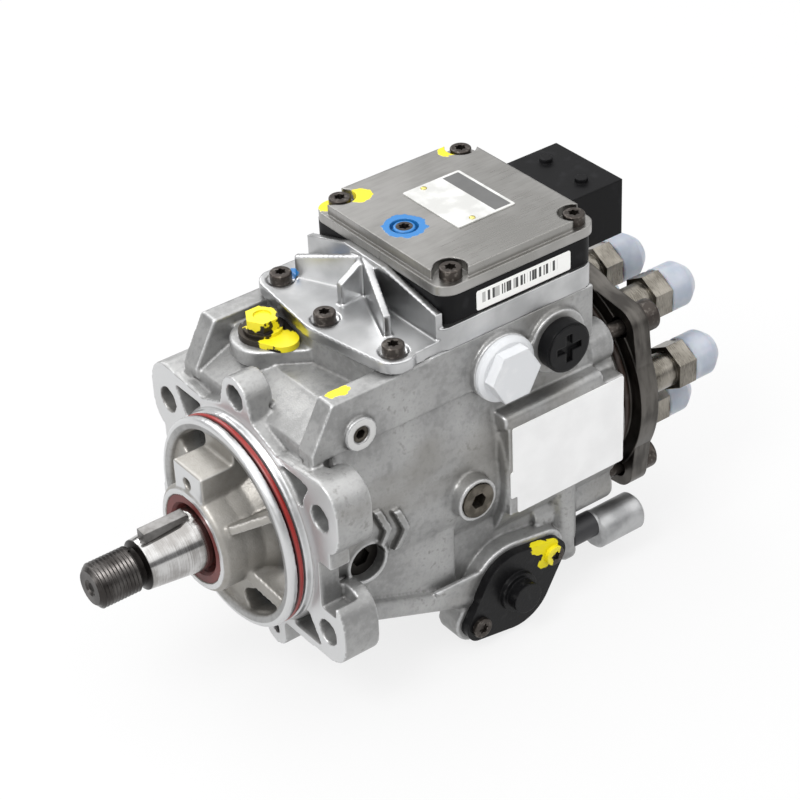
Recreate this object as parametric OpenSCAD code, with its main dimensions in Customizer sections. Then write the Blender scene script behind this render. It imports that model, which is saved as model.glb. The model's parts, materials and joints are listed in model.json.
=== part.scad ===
// Distributor fuel pump for a six-cylinder diesel engine, with its control unit on top.
// Millimetres. The origin is on the shaft axis in the plane of the mounting flange's face.
// +X runs along the shaft axis to the rear, +Z is up, and the fuel ports are on the -Y side.

/* [Mounting flange] */
// Diameter of the pilot that centres the pump in the engine
pilot_d = 86; // [86:0.5:88]
// How far the pilot stands out of the flange face
pilot_h = 10; // [9.5:0.5:12]
// Width of the groove for the pilot seal
groove_w = 3.4; // [3.2:0.1:3.8]
// Depth of the groove for the pilot seal
groove_d = 2.8; // [2.6:0.1:3]
// Distance between the bolt holes across the pump
bolt_row_y = 100; // [99:0.5:103]
// Distance between the bolt holes up the pump
bolt_row_z = 53; // [51:0.5:55]
// Diameter of the four bolt holes
bolt_hole_d = 10.5; // [9:0.5:11]
// Thickness of the flange plate
flange_t = 9; // [8:0.5:11]
// Radius of the metal round each bolt hole
lobe_r = 11; // [10:0.5:12]
// Length of the bosses behind the bolt holes
lobe_h = 16; // [14:1:20]

/* [Nose] */
// Outer diameter of the hub round the shaft seal
hub_d = 44; // [42:0.5:46]
// How far the hub stands out of the flange face
hub_h = 24.5; // [23:0.5:26]
// Outer diameter of the shaft seal
seal_d = 36.2; // [35:0.1:38]
// Width of the shaft seal
seal_w = 7; // [6:0.5:8]
// Wall of the pilot ring
ring_wall = 5; // [4.5:0.5:6]
// Thickness of the ribs between the hub and the pilot ring
nose_rib_t = 3.5; // [3:0.5:5]
// Depth of the two deep pockets behind the flange face
pocket_depth = 11; // [8:1:13]

/* [Housing] */
// Rear face of the casting
body_end = 148; // [147:0.5:150]
// Diameter of the barrel behind the flange
barrel_d = 90; // [90:0.5:93]
// Diameter of the rear drum that holds the distributor head
drum_d = 98; // [96:0.5:100]
// Front edge of the rear drum
drum_start = 87; // [85:0.5:89]
// Diameter of the chamber inside
chamber_d = 79; // [78:0.5:80]
// Width of the casting under the control unit
deck_w = 84; // [82:0.5:86]
// Height of the face that carries the control unit
deck_z = 66; // [65:0.5:67]
// Height of the open deck in front of the control unit
low_deck_z = 54; // [53:0.5:56]
// Thickness of the side walls of the open deck
deck_wall = 9; // [7:0.5:10]
// Rear end of the face that carries the control unit
deck_end = 137; // [135:0.5:139]

/* [Drive shaft] */
// Diameter of the shaft in its bearing
shaft_d = 25; // [24:0.5:25.5]
// Small diameter of the taper
taper_small_d = 20; // [19.5:0.5:21]
// Length of the taper
taper_l = 25; // [24:0.5:26]
// Outer diameter of the thread for the gear nut
thread_d = 18; // [17:0.5:18.5]
// Length of the threaded end
thread_l = 17.5; // [16:0.5:20]
// Width of the undercut between the thread and the taper
undercut_w = 3; // [2:0.5:4]
// Width of the key
key_w = 5; // [4:0.5:6]
// Length of the key
key_l = 19; // [16:1:21]
// Length of the front bearing bush
bush_l = 26; // [22:1:28]
// Wall of the front bearing bush
bush_wall = 3.5; // [3:0.25:4]

/* [Feed pump] */
// Front face of the feed pump rotor
feed_x = 18; // [18:0.5:19]
// Width of the feed pump rotor and its ring
feed_w = 14; // [12:0.5:15]
// Diameter of the feed pump rotor
feed_rotor_d = 38; // [37:0.5:39]
// Number of vanes
vane_count = 4; // [4:1:5]
// Thickness of a vane
vane_t = 2.5; // [2:0.25:3]
// Diameter of the eccentric bore
feed_bore_d = 47; // [46.5:0.25:48]
// How far the eccentric bore is off the shaft axis
feed_offset = 2.5; // [2:0.25:2.75]
// Outer diameter of the eccentric ring
feed_ring_d = 72; // [70:0.5:74]
// Thickness of the feed pump cover
feed_cover_t = 4; // [3:0.5:5]

/* [Cam and plungers] */
// Middle of the cam ring and of the timing device
cam_x = 89.5; // [89:0.5:91]
// Width of the cam ring
cam_w = 17; // [16:0.5:18]
// Radius of the cam track between the lobes
cam_track_r = 32; // [31.5:0.25:32.5]
// Radius at the tips of the lobes
cam_tip_r = 30; // [29.5:0.25:30.25]
// Number of cam lobes, one for each cylinder
cylinders = 6; // [6:1:6]
// Number of plungers
plungers_n = 3; // [3:1:3]
// Diameter of a roller
roller_d = 8; // [7.5:0.25:8.5]
// Diameter of a plunger
plunger_d = 7; // [6.5:0.25:7.5]
// Width of a roller shoe
shoe_w = 12; // [11.5:0.5:13]
// Diameter of the cam ring's pin
cam_pin_d = 8; // [7:0.5:8]
// Number of teeth on the trigger wheel
trigger_teeth = 36; // [30:6:48]
// Diameter of the trigger wheel
trigger_d = 60; // [58:1:61]

/* [Timing device] */
// Height of the timing piston's axis below the shaft
timing_drop = 52; // [51:0.5:52.5]
// Diameter of the timing piston
timing_bore_d = 20; // [19:0.5:21]
// Length of the timing piston
timing_piston_l = 44; // [42:1:46]
// Advance of the cam ring in degrees
advance = 15; // [12:1:16]
// Distance from the shaft axis to the timing cover's seat
timing_seat = 47.5; // [47:0.5:49]
// Distance from the cover's middle to each of its screws
cover_screw_r = 20.5; // [20:0.5:21]
// Radius of the round middle of the timing cover
cover_r = 18; // [17.5:0.5:18.5]
// Thickness of the timing cover
cover_t = 4; // [3:0.5:5]
// Slant of the timing cover in degrees
cover_slant = 25; // [22:1:27]
// Diameter of the timing solenoid's can
valve_can_d = 16; // [15:0.5:17]
// Length of the timing solenoid's can
valve_can_l = 23.5; // [22:0.5:26]

/* [Fuel ports] */
// Distance of the inlet from the flange face
inlet_x = 90; // [89:0.5:90.5]
// Distance of the return port from the flange face
return_x = 117; // [117:0.5:119]
// Height of both ports above the shaft axis
port_z = 50; // [49.5:0.5:51.5]
// Diameter of the inlet thread
inlet_thread_d = 18; // [16:0.5:19]
// Diameter of the return thread
return_thread_d = 16; // [14:0.5:17]
// Width across the flats of the inlet cap
inlet_cap_af = 20; // [19:0.5:22]
// Diameter of the return cap
return_cap_d = 20.8; // [19:0.2:22]

/* [Control unit] */
// Width of the control unit's base
unit_w = 84; // [83:0.5:85]
// Front of the raised part of the base
unit_x = 63; // [62:0.5:64]
// Rear end of the lid
lid_end = 141; // [140:0.5:142]
// Width of the lid
lid_w = 81; // [80:0.5:82]
// Distance of the lid's corner screws from its sides
lid_screw_edge = 6.5; // [6:0.5:7]
// Thickness of the base's front apron
apron_t = 5; // [4:0.5:6]
// Height of the base's side band
base_h = 9.5; // [9:0.5:10.5]
// Height of the black frame
frame_h = 11.5; // [10:0.5:13]
// Height of the lid
lid_h = 8; // [7:0.5:9]
// Thickness of the ribs on the base
base_rib_t = 3; // [2.5:0.5:4]
// Height of the ribs' front ends above the apron
base_rib_h = 9; // [7:0.5:10]
// Height of the base's crown wall above the side band
crown_h = 12; // [10:0.5:12.5]
// Length of the connector block
plug_l = 27; // [25:0.5:28]
// Width of the connector block
plug_w = 39; // [36:1:42]
// Height of the connector block
plug_h = 24; // [22:1:26]

/* [Distributor head] */
// Thickness of the head plate
head_t = 9; // [8.5:0.5:11]
// Diameter of the round part of the head plate
head_d = 96; // [94:1:98]
// Length of the neck between the casting and the plate
neck_l = 9.5; // [9.5:0.5:12]
// Diameter of the neck
neck_d = 84; // [83:0.5:85]
// Distance from the neck's wall to the middle of the head screws
head_screw_gap = 5.5; // [5:0.5:6]
// Distance of the delivery holders from the axis
delivery_r = 30; // [29.5:0.25:30.5]
// Diameter of a delivery holder's barrel
holder_d = 15; // [14:0.5:16]
// Length of the barrel behind the head plate
holder_l = 20; // [19:0.5:24]
// Width across the flats of a delivery holder's hexagon
holder_af = 18; // [17:0.5:19]
// Length of the hexagon
holder_hex_l = 9; // [8:0.5:10]
// Diameter of the delivery connection's thread
nipple_d = 14; // [12:0.5:14.5]
// Length of the delivery connection's thread
nipple_l = 11; // [10:0.5:12]
// Outer diameter of a delivery cap
delivery_cap_d = 19.6; // [18:0.2:20]
// Lift of a delivery valve
valve_lift = 0.8; // [0.5:0.1:1]
// Diameter of the distributor rotor
rotor_d = 20; // [19:0.5:21]
// Diameter of the metering solenoid
solenoid_d = 33; // [31:0.5:34]
// Length of the metering solenoid behind the head plate
solenoid_l = 24; // [22:1:28]

/* [Fasteners and fits] */
// Head diameter of the control unit's screws
small_head_d = 8.6; // [8:0.2:9]
// Head height of the control unit's screws
small_head_h = 4; // [3:0.5:5]
// Thread diameter of the control unit's screws
small_screw_d = 5; // [4:0.5:5.5]
// Thread diameter of the head screws
head_screw_d = 8; // [7:0.5:8.5]
// Width across the flats of the lock bolt's hexagon
lock_af = 12; // [12:0.5:14]
// Thread diameter of the lock bolt
lock_d = 8; // [7:0.5:9]
// Gap round a part that turns or slides in its bore
run_gap = 0.05; // [0.02:0.01:0.1]
// Gap between parts that only pass each other
free_gap = 0.3; // [0.3:0.05:0.5]

/* [Hidden] */
$fn = 48;

pilot_r = pilot_d / 2;
barrel_r = barrel_d / 2;
drum_r = drum_d / 2;
chamber_r = chamber_d / 2;
shaft_r = shaft_d / 2;
hole_y = bolt_row_y / 2;
hole_z = bolt_row_z / 2;
bush_r = shaft_r + run_gap + bush_wall;
seal_back = seal_w - hub_h;
bush_x = seal_back + 3;
bush_end = bush_x + bush_l;
feed_end = feed_x + feed_w;
chamber_x = feed_end + feed_cover_t;
cam_front = cam_x - cam_w / 2;
cam_back = cam_x + cam_w / 2;
cam_ring_r = chamber_r - run_gap;
carrier_r = cam_tip_r - 2;
carrier_x = cam_front - 8;
roller_at = cam_tip_r - free_gap - roller_d / 2;
shoe_in_r = roller_at - 8;
head_front = cam_back + 13;
plate_x = body_end + neck_l;
plate_end = plate_x + head_t;
tip_x = -(hub_h + taper_l + undercut_w + thread_l) + 0.6;
thread_end = tip_x + thread_l;
taper_x = thread_end + undercut_w;
taper_end = taper_x + taper_l;
top_boss_at = [1, pilot_r + 9.5];
low_boss_at = [-14, -pilot_r - 4];
lock_at = [27, 20];
lock_pad_z = low_deck_z + 6;
lock_head_h = 6;
lock_shank_l = 30;
washer_t = 2.5;
washer_r = 9.5;
washer_tail = [1.5, -11];
washer_tail_r = 6;
wall_bottom = 43;
side_half = deck_w / 2 - 1;
cover_mid = [cam_x, -timing_drop];
piston_rest = -timing_drop * sin(advance / 2);
piston_travel = timing_drop * advance * PI / 180;
pin_angle = -advance / 2;
spring_seat = timing_seat - 8;
valve_can_at = [138, -40, -53.5];
valve_neck_z = -49.5;
valve_neck_r = 5.5;
clamp_boss_at = [122, -40];
unit_screws = [[45, 33], [41, -1], [47, -35]];
lug_r = 8.5;
apron_z = deck_z + apron_t;
base_z = deck_z + base_h;
frame_z = base_z + frame_h;
lid_z = frame_z + lid_h;
frame_x = unit_x + base_rib_t + free_gap;
frame_wall = 4;
board_t = 1.6;
board_end_gap = 14;
chip_w = 22;
chip_h = 3;
coil_l = 10;
coil_w = 26;
coil_h = 4.5;
lid_front = frame_x - 0.3;
lid_screw_y = lid_w / 2 - lid_screw_edge;
lid_screw_x = [lid_front + 9, lid_end - 7];
mid_screw = [lid_front + 14, 0];
notch_z = lid_z - 4;
head_screw_r = neck_d / 2 + head_screw_gap;
head_lobe_r = 9;
delivery_x = plate_end;
hex_x = delivery_x + holder_l;
nipple_x = hex_x + holder_hex_l;
holder_root = 12;
valve_r = 2.7;
side_bite = 0.03;
port_boss_h = 3;
plug_boss_at = [72, 0];
recess_plug_at = [23, -8];
small_plug_at = [24.5, 49];
flank_top = [39, wall_bottom + 1];
flank_foot = [44, 19];
strut_from = [12, -44, -27.5];
strut_to = [72, -44, -50.5];

// Turns local z to +X, local x to +Y and local y to +Z
module along_x(x = 0) {
    translate([x, 0, 0]) rotate([90, 0, 90]) children();
}

// Turns local z to -Y at a place on the visible side
module out_of_side(x, y, z) {
    translate([x, y, z]) rotate([90, 0, 0]) children();
}

// Turns a profile of radius and length about the shaft axis
module lathe() {
    rotate([0, 90, 0]) rotate_extrude() children();
}

// Two standing cylinders joined by flat sides that are tangent to both
module link(a, ra, b, rb, h) {
    span = b - a;
    heading = atan2(span[1], span[0]);
    open = acos((ra - rb) / norm(span));
    left = [cos(heading + open), sin(heading + open)];
    right = [cos(heading - open), sin(heading - open)];
    near = ra - side_bite;
    far = rb - side_bite;
    translate(a) cylinder(r = ra, h = h);
    translate(b) cylinder(r = rb, h = h);
    linear_extrude(h) polygon([a + near * left, b + far * left, b + far * right, a + near * right]);
}

// A sector of a disc between two angles less than 180 degrees apart
module sector(r, from, to, h) {
    middle = (from + to) / 2;
    intersection() {
        cylinder(r = r, h = h);
        linear_extrude(h) polygon([[0, 0], 3 * r * [cos(from), sin(from)],
            3 * r * [cos(middle), sin(middle)], 3 * r * [cos(to), sin(to)]]);
    }
}

// A rectangle with round corners, from its low corner to its high one
module round_rect(low, high, r) {
    translate([low[0] + r, low[1]]) square([high[0] - low[0] - 2 * r, high[1] - low[1]]);
    translate([low[0], low[1] + r]) square([high[0] - low[0], high[1] - low[1] - 2 * r]);
    for (x = [low[0] + r, high[0] - r], y = [low[1] + r, high[1] - r]) {
        translate([x, y]) circle(r = r);
    }
}

// A hexagonal prism given by its width across the flats
module hexagon(af, h) {
    cylinder(d = af / cos(30), h = h, $fn = 6);
}

// A screw with a socket head, its head's seat at z = 0 and its shank below
module socket_screw(d, l, head_d, head_h, socket) {
    translate([0, 0, -l]) cylinder(d = d, h = l + 0.5);
    difference() {
        cylinder(d = head_d, h = head_h);
        translate([0, 0, head_h * 0.4]) hexagon(socket, head_h);
    }
}

// The flange's full plate, standing on its face, seen from the rear as Y and Z
module flange_plate() {
    top = hole_z + 5;
    low = hole_z + 2;
    linear_extrude(flange_t) polygon([[-hole_y, top + lobe_r], [-24, 40.5], [-10, 46], [10, 46],
        [24, 40.5], [hole_y, top + lobe_r], [hole_y + 5, hole_z], [hole_y + 5, -hole_z],
        [hole_y, -low - lobe_r], [24, -40.5], [-24, -40.5], [-hole_y, -low - lobe_r],
        [-hole_y - 5, -hole_z], [-hole_y - 5, hole_z]]);
    cylinder(r = pilot_r + 3, h = flange_t);
    for (side = [-1, 1]) {
        link([side * hole_y, hole_z - 4], lobe_r, [side * hole_y, top], lobe_r, lobe_h);
        link([side * hole_y, 6 - hole_z], lobe_r, [side * hole_y, -low], lobe_r, lobe_h);
    }
    link(top_boss_at, 8.5, [1, pilot_r - 4], 12, flange_t);
    translate(top_boss_at) cylinder(r = 8.5, h = 11.5);
    link(low_boss_at, 7, [-10, 6 - pilot_r], 10, flange_t);
}

// The open windows in the flange
module flange_windows() {
    for (side = [-1, 1]) {
        polygon([[side * (hole_y - 6.5), hole_z + 10], [side * 25.5, hole_z + 10],
            [side * (hole_y - 12.7), hole_z - 2]]);
        polygon([[side * (hole_y - 5), -hole_z - 9.5], [side * 26, -hole_z - 9.5],
            [side * (hole_y - 12.5), 3 - hole_z]]);
    }
}

// The flange plate with its windows and side pockets
module flange() {
    along_x() difference() {
        flange_plate();
        translate([0, 0, -1]) linear_extrude(flange_t + 2) flange_windows();
        difference() {
            for (side = [-1, 1]) {
                translate([side * hole_y - 6, -16, -1]) cube([8.5, 21, flange_t + 2]);
            }
            translate([0, 0, -2]) cylinder(r = pilot_r + 2.5, h = flange_t + 4);
        }
    }
}

// The pilot ring with its seal groove
module pilot_ring() {
    inner = pilot_r - ring_wall;
    groove = (pilot_h + groove_w) / 2 - 0.3;
    lathe() polygon([[inner, 1], [inner, 1 - pilot_h], [inner + 1, -pilot_h],
        [pilot_r - 1, -pilot_h], [pilot_r, 1 - pilot_h], [pilot_r, -groove],
        [pilot_r - groove_d, -groove], [pilot_r - groove_d, groove_w - groove],
        [pilot_r, groove_w - groove], [pilot_r, 1]]);
}

// The hub round the seal, the metal filled in round it and the ribs to the pilot ring
module nose() {
    hub_r = hub_d / 2;
    fill_r = pilot_r - ring_wall + 1;
    lathe() polygon([[0, -hub_h], [hub_r - 1.5, -hub_h], [hub_r, 1.5 - hub_h],
        [hub_r, -14], [hub_r + 1, -7], [hub_r + 3.5, -2], [hub_r + 5, 1], [0, 1]]);
    along_x(-7) sector(fill_r, -4, 78, 8);
    along_x(-7) sector(fill_r, 210, 287, 8);
    along_x(-4) sector(fill_r, 287, 356, 5);
    rotate([57, 0, 0]) translate([0, nose_rib_t / 2, 0]) rotate([90, 0, 0])
        linear_extrude(nose_rib_t) polygon([[1, hub_r - 3], [-20, hub_r - 3], [-20, hub_r + 2],
            [-9, fill_r], [1, fill_r]]);
    rotate([123, 0, 0]) translate([0, nose_rib_t, 0]) rotate([90, 0, 0])
        linear_extrude(2 * nose_rib_t) polygon([[1, hub_r - 3], [-14, hub_r - 3], [-8, fill_r],
            [1, fill_r]]);
    translate([1 - hub_h, -8.5, 12]) cube([hub_h, 18.7, 19.2]);
    along_x(-9) linear_extrude(10) polygon([[-8.5, 20], [10.2, 20], [10.2, fill_r - 0.3],
        [-8.5, fill_r - 0.3]]);
}

// The barrel, the rear drum and the block that carries the control unit
module body_shell() {
    along_x(1) cylinder(r = pilot_r + 1.5, h = 20);
    along_x(12) cylinder(r1 = pilot_r + 1.5, r2 = barrel_r, h = 10);
    along_x(21) cylinder(r = barrel_r, h = body_end - 25);
    along_x(drum_start) cylinder(r = drum_r, h = body_end - drum_start);
    for (turn = [45, 135]) {
        along_x(body_end - 12) rotate(turn) translate([head_screw_r, 0])
            cylinder(r = head_lobe_r, h = 11.6);
    }
    for (turn = [225, 315]) {
        along_x(drum_start + 20) rotate(turn) translate([head_screw_r, 0])
            cylinder(r = head_lobe_r, h = body_end - drum_start - 20.4);
    }
    along_x(14) linear_extrude(deck_end - 14) polygon([[flank_foot[0], 8], flank_foot, flank_top,
        [-flank_top[0], flank_top[1]], [-flank_foot[0], flank_foot[1]], [-flank_foot[0], 8]]);
    along_x(22) linear_extrude(deck_end - 22) translate([3 - deck_w / 2, wall_bottom - 1])
        square([deck_w - 6, low_deck_z - wall_bottom + 1]);
    translate([0, deck_w / 2 - 4, 0]) rotate([90, 0, 0]) linear_extrude(deck_w - 8)
        polygon([[5, 30], [5, 46], [23, low_deck_z], [30, low_deck_z], [30, 30]]);
    along_x(unit_x - 4) linear_extrude(deck_end - unit_x + 4) translate([-deck_w / 2, wall_bottom])
        square([deck_w, deck_z - wall_bottom]);
    translate([0, 0, low_deck_z - 1]) lug_outline(lug_r - 2, deck_z - low_deck_z + 1);
    for (side = [-1, 1]) {
        translate([0, (side + 1) * deck_w / 4 + (side - 1) * (deck_w / 4 - deck_wall / 2), 0])
            rotate([90, 0, 0]) linear_extrude(deck_wall)
                polygon([[4, wall_bottom], [4, 47], [14, deck_z - 1], [60, deck_z - 1],
                    [60, wall_bottom]]);
    }
}

// The pad under the lock bolt and the small pads on the side
module side_pads() {
    translate([0, 0, low_deck_z - 1]) link(lock_at, 13, [42, 1], 6, lock_pad_z - low_deck_z + 1);
    out_of_side(plug_boss_at[0], 4 - barrel_r, plug_boss_at[1]) cylinder(r = 9, h = 9.5);
    out_of_side(small_plug_at[0], 6 - side_half, small_plug_at[1]) cylinder(r = 7, h = 9.5);
    for (at = [[inlet_x, 14], [return_x, 13.4]]) {
        out_of_side(at[0], 3 - deck_w / 2, port_z) cylinder(r = 10, h = 4);
        out_of_side(at[0], -deck_w / 2, port_z) cylinder(r = at[1], h = port_boss_h);
    }
    out_of_side(recess_plug_at[0], 9 - barrel_r, recess_plug_at[1]) cylinder(r = 9.5, h = 10);
    translate([drum_start + 1, -drum_r - 1, -16]) cube([body_end - drum_start - 3, 16, 41]);
    along_x(drum_start) link([2.5 - drum_r, 27], 3, [-30, 24], 6, body_end - drum_start - 12);
    strut();
    translate([clamp_boss_at[0], clamp_boss_at[1], -56]) cylinder(r = 6, h = 40);
    intersection() {
        along_x(15) cylinder(r = barrel_r + 2.5, h = 40);
        for (step = [0, 1]) {
            out_of_side(34 + 8.3 * step, 14 - barrel_r, 3.5 - 3.2 * step) linear_extrude(20)
                polygon([[0, 0], [-3.5, 9.2], [-7, 9.2], [-3.6, 0], [-8.4, -7.9], [-5, -7.9]]);
        }
    }
}

// The slim strut from the flange's lower lobe to the timing device, and its web and gusset
module strut() {
    run = strut_to - strut_from;
    fall = atan2(run[2], run[0]);
    translate(strut_from) rotate([0, 90 - fall, 0]) cylinder(r = 4.2, h = norm(run));
    translate([0, 4 + strut_from[1], 0]) rotate([90, 0, 0]) linear_extrude(3)
        polygon([[strut_from[0] + 1, strut_from[2] + 1], [strut_to[0] - 6, strut_to[2] + 3],
            [strut_to[0] - 6, -12], [strut_from[0] + 1, -12]]);
    translate([0, strut_to[1] - 1, 0]) rotate([90, 0, 0]) linear_extrude(2.5)
        polygon([[strut_to[0] + 2, -38], [strut_to[0] - 19, -37.5], [strut_to[0] - 15, -45],
            [strut_to[0] + 2, -50]]);
}

// A standing plate in the shape of the timing cover and of its seat
module timing_plate(h, grow = 0) {
    ear = cover_screw_r * [cos(cover_slant), sin(cover_slant)];
    link([0, 0], cover_r + grow, ear, 6.5 + grow, h);
    link([0, 0], cover_r + grow, -ear, 6.5 + grow, h);
}

// The cast body of the timing device, across the bottom of the pump
module timing_body() {
    out_of_side(cover_mid[0], 12 - timing_seat, cover_mid[1]) timing_plate(12, 2.2);
    out_of_side(cover_mid[0], timing_seat - 2, cover_mid[1])
        cylinder(r = cover_r + 1.5, h = 2 * timing_seat - 6);
    translate([cam_x - 27, -40, -42]) cube([52, 80, 40]);
    out_of_side(cam_x, 40, 0) linear_extrude(80)
        polygon([[-27, -36], [-27, -50], [-14, -timing_drop - 15], [10, -timing_drop - 15],
            [23, -46], [23, -36]]);
}

// Everything that is bored, drilled or milled out of the casting
module housing_cuts() {
    lathe() polygon([[0, -hub_h - 1], [seal_d / 2, -hub_h - 1], [seal_d / 2, seal_back],
        [shaft_r + 1.5, seal_back], [shaft_r + 1.5, bush_x], [bush_r, bush_x],
        [bush_r, bush_end], [shaft_r + 1.5, bush_end], [shaft_r + 1.5, feed_x - 1],
        [feed_ring_d / 2, feed_x - 1], [feed_ring_d / 2, chamber_x], [chamber_r, chamber_x],
        [chamber_r, body_end + 1], [0, body_end + 1]]);
    for (side_y = [-hole_y, hole_y], side_z = [-hole_z, hole_z]) {
        along_x(-1) translate([side_y, side_z]) cylinder(d = bolt_hole_d, h = lobe_h + 2);
    }
    along_x(-1) translate(top_boss_at) cylinder(d = 10, h = 11);
    along_x(-1) translate(low_boss_at) cylinder(d = 4.2, h = flange_t + 2);
    for (turn = [51, 241]) {
        along_x(-9) rotate(turn) link([32.6, -7.5], 4.5, [32.6, 7.5], 4.5, pocket_depth + 9);
    }
    out_of_side(cam_x, timing_seat + 1, -timing_drop)
        cylinder(d = timing_bore_d + 2 * run_gap, h = 2 * timing_seat + 2);
    translate([cam_x - cam_pin_d / 2 - 3, -16, -timing_drop]) cube([cam_pin_d + 6, 32, 24]);
    out_of_side(plug_boss_at[0], 9 - barrel_r, plug_boss_at[1]) cylinder(r = 7.2, h = 15);
    out_of_side(recess_plug_at[0], 9 - barrel_r, recess_plug_at[1]) cylinder(r = 7.8, h = 15);
    out_of_side(small_plug_at[0], 6 - side_half, small_plug_at[1]) cylinder(r = 3.4, h = 12);
    out_of_side(inlet_x, 14 - deck_w / 2, port_z) cylinder(d = inlet_thread_d, h = 20);
    out_of_side(return_x, 14 - deck_w / 2, port_z) cylinder(d = return_thread_d, h = 20);
    translate([lock_at[0], lock_at[1], 0]) cylinder(d = lock_d, h = lock_pad_z + 1);
    for (turn = [45:90:315]) {
        rotate([turn, 0, 0]) translate([body_end - 20, head_screw_r, 0]) rotate([0, 90, 0])
            cylinder(d = head_screw_d, h = 22);
    }
    for (at = unit_screws) {
        translate([at[0], at[1], deck_z - 14]) cylinder(d = small_screw_d, h = 16);
    }
    for (side = [-1, 1]) {
        out_of_side(cover_mid[0] + side * cover_screw_r * cos(cover_slant), 12 - timing_seat,
            cover_mid[1] + side * cover_screw_r * sin(cover_slant))
            cylinder(d = small_screw_d, h = 14);
    }
    translate([clamp_boss_at[0] + 3, valve_can_at[1], valve_neck_z]) rotate([0, 90, 0])
        cylinder(r = valve_neck_r + 0.01, h = 14);
    translate([clamp_boss_at[0] - 3, valve_can_at[1], valve_neck_z]) rotate([0, 90, 0])
        cylinder(r = 3, h = 7);
}

module pump_housing() {
    color([0.74, 0.75, 0.75]) difference() {
        union() {
            flange();
            pilot_ring();
            nose();
            body_shell();
            side_pads();
            timing_body();
        }
        housing_cuts();
    }
}

module pilot_o_ring() {
    groove = (pilot_h + groove_w) / 2 - 0.3;
    section = groove_d - 0.1;
    color([0.62, 0.09, 0.07]) lathe() translate([pilot_r - groove_d + section / 2, groove_w / 2 - groove])
        circle(d = section);
}

module shaft_seal() {
    color([0.36, 0.14, 0.12]) lathe() polygon([[shaft_r + free_gap, seal_back],
        [shaft_r + free_gap, seal_back - 2], [shaft_r + 2, 1.6 - hub_h],
        [seal_d / 2 - 4, 1.6 - hub_h], [seal_d / 2 - 3, 0.4 - hub_h],
        [seal_d / 2, 0.4 - hub_h], [seal_d / 2, seal_back]]);
}

module front_bearing() {
    color([0.72, 0.58, 0.36]) lathe() translate([shaft_r + run_gap, bush_x])
        square([bush_wall, bush_l]);
}

// The shaft, its roller carrier and the slots for the shoes
module drive_shaft() {
    tip_r = thread_d / 2;
    color([0.66, 0.66, 0.66]) difference() {
        lathe() polygon([[0, tip_x], [tip_r - 1.2, tip_x], [tip_r, tip_x + 1.2],
            [tip_r, thread_end], [tip_r - 1.2, thread_end + 0.6], [tip_r - 1.2, taper_x - 0.4],
            [taper_small_d / 2, taper_x], [shaft_r, taper_end], [shaft_r, feed_end + 12],
            [shaft_r - 1.5, feed_end + 13], [shaft_r - 1.5, carrier_x - 4],
            [carrier_r - 6, carrier_x - 3], [carrier_r, carrier_x], [carrier_r, cam_back],
            [rotor_d / 2 + 2, cam_back], [rotor_d / 2 + 2, carrier_x + 5], [0, carrier_x + 5]]);
        for (turn = [0:360 / plungers_n:359]) {
            rotate([turn, 0, 0]) translate([cam_front - 1, -shoe_w / 2, rotor_d / 2])
                cube([cam_w + 2, shoe_w, 40]);
        }
        translate([taper_end - key_l - 3, -key_w / 2, taper_small_d / 2 - 3])
            cube([key_l, key_w, 20]);
        along_x(tip_x - 1) cylinder(d = 5, h = 6);
        along_x(tip_x - 0.01) cylinder(d1 = 7.5, d2 = 5, h = 2);
    }
}

module shaft_key() {
    color([0.5, 0.5, 0.5]) translate([taper_end - key_l - 3, -key_w / 2, taper_small_d / 2 - 3])
        cube([key_l, key_w, 7.2]);
}

// The lock bolt goes down through the deck towards the shaft
module lock_bolt() {
    translate([lock_at[0], lock_at[1], lock_pad_z + washer_t])
        color([0.16, 0.14, 0.12]) {
            translate([0, 0, -lock_shank_l]) cylinder(d = lock_d, h = lock_shank_l + 1);
            cylinder(d = lock_af + 3.5, h = 1.4);
            difference() {
                hexagon(lock_af, lock_head_h);
                translate([0, 0, lock_head_h - 0.8]) cylinder(d = 7, h = 2);
            }
        }
}

// The spacer under the lock bolt's head is open at one end, so that it can be pulled out
module lock_washer() {
    color([0.12, 0.11, 0.1]) translate([lock_at[0], lock_at[1], lock_pad_z]) difference() {
        link([0, 0], washer_r, washer_tail, washer_tail_r, washer_t);
        translate([0, 0, -1]) cylinder(d = lock_d + 0.8, h = washer_t + 2);
        translate([-lock_d / 2 - 0.4, 0, -1]) cube([lock_d + 0.8, 12, washer_t + 2]);
    }
}

module feed_rotor() {
    color([0.55, 0.55, 0.56]) along_x(feed_x) linear_extrude(feed_w) difference() {
        circle(d = feed_rotor_d);
        circle(r = shaft_r);
        for (turn = [0:360 / vane_count:359]) {
            rotate(turn) translate([shaft_r + 0.8, -vane_t / 2]) square([20, vane_t]);
        }
    }
}

module feed_vanes() {
    reach = feed_bore_d / 2 - feed_offset - free_gap;
    color([0.4, 0.4, 0.42]) along_x(feed_x) linear_extrude(feed_w)
        for (turn = [0:360 / vane_count:359]) {
            rotate(turn) translate([shaft_r + 1, -vane_t / 2])
                square([reach - shaft_r - 1.4, vane_t]);
        }
}

module feed_ring() {
    color([0.5, 0.5, 0.52]) along_x(feed_x) linear_extrude(feed_w) difference() {
        circle(d = feed_ring_d);
        translate([0, feed_offset]) circle(d = feed_bore_d);
    }
}

module feed_cover() {
    port_r = feed_rotor_d / 2 + 1;
    color([0.52, 0.52, 0.53]) along_x(feed_end) difference() {
        cylinder(d = feed_ring_d, h = feed_cover_t);
        translate([0, 0, -1]) cylinder(r = shaft_r + free_gap, h = feed_cover_t + 2);
        for (side = [-1, 1], half = [-1, 1]) {
            translate([0, 0, -1]) link(port_r * [side * cos(40), half * sin(40)], 1.6,
                port_r * [side, 0], 2, feed_cover_t + 2);
        }
    }
}

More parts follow.
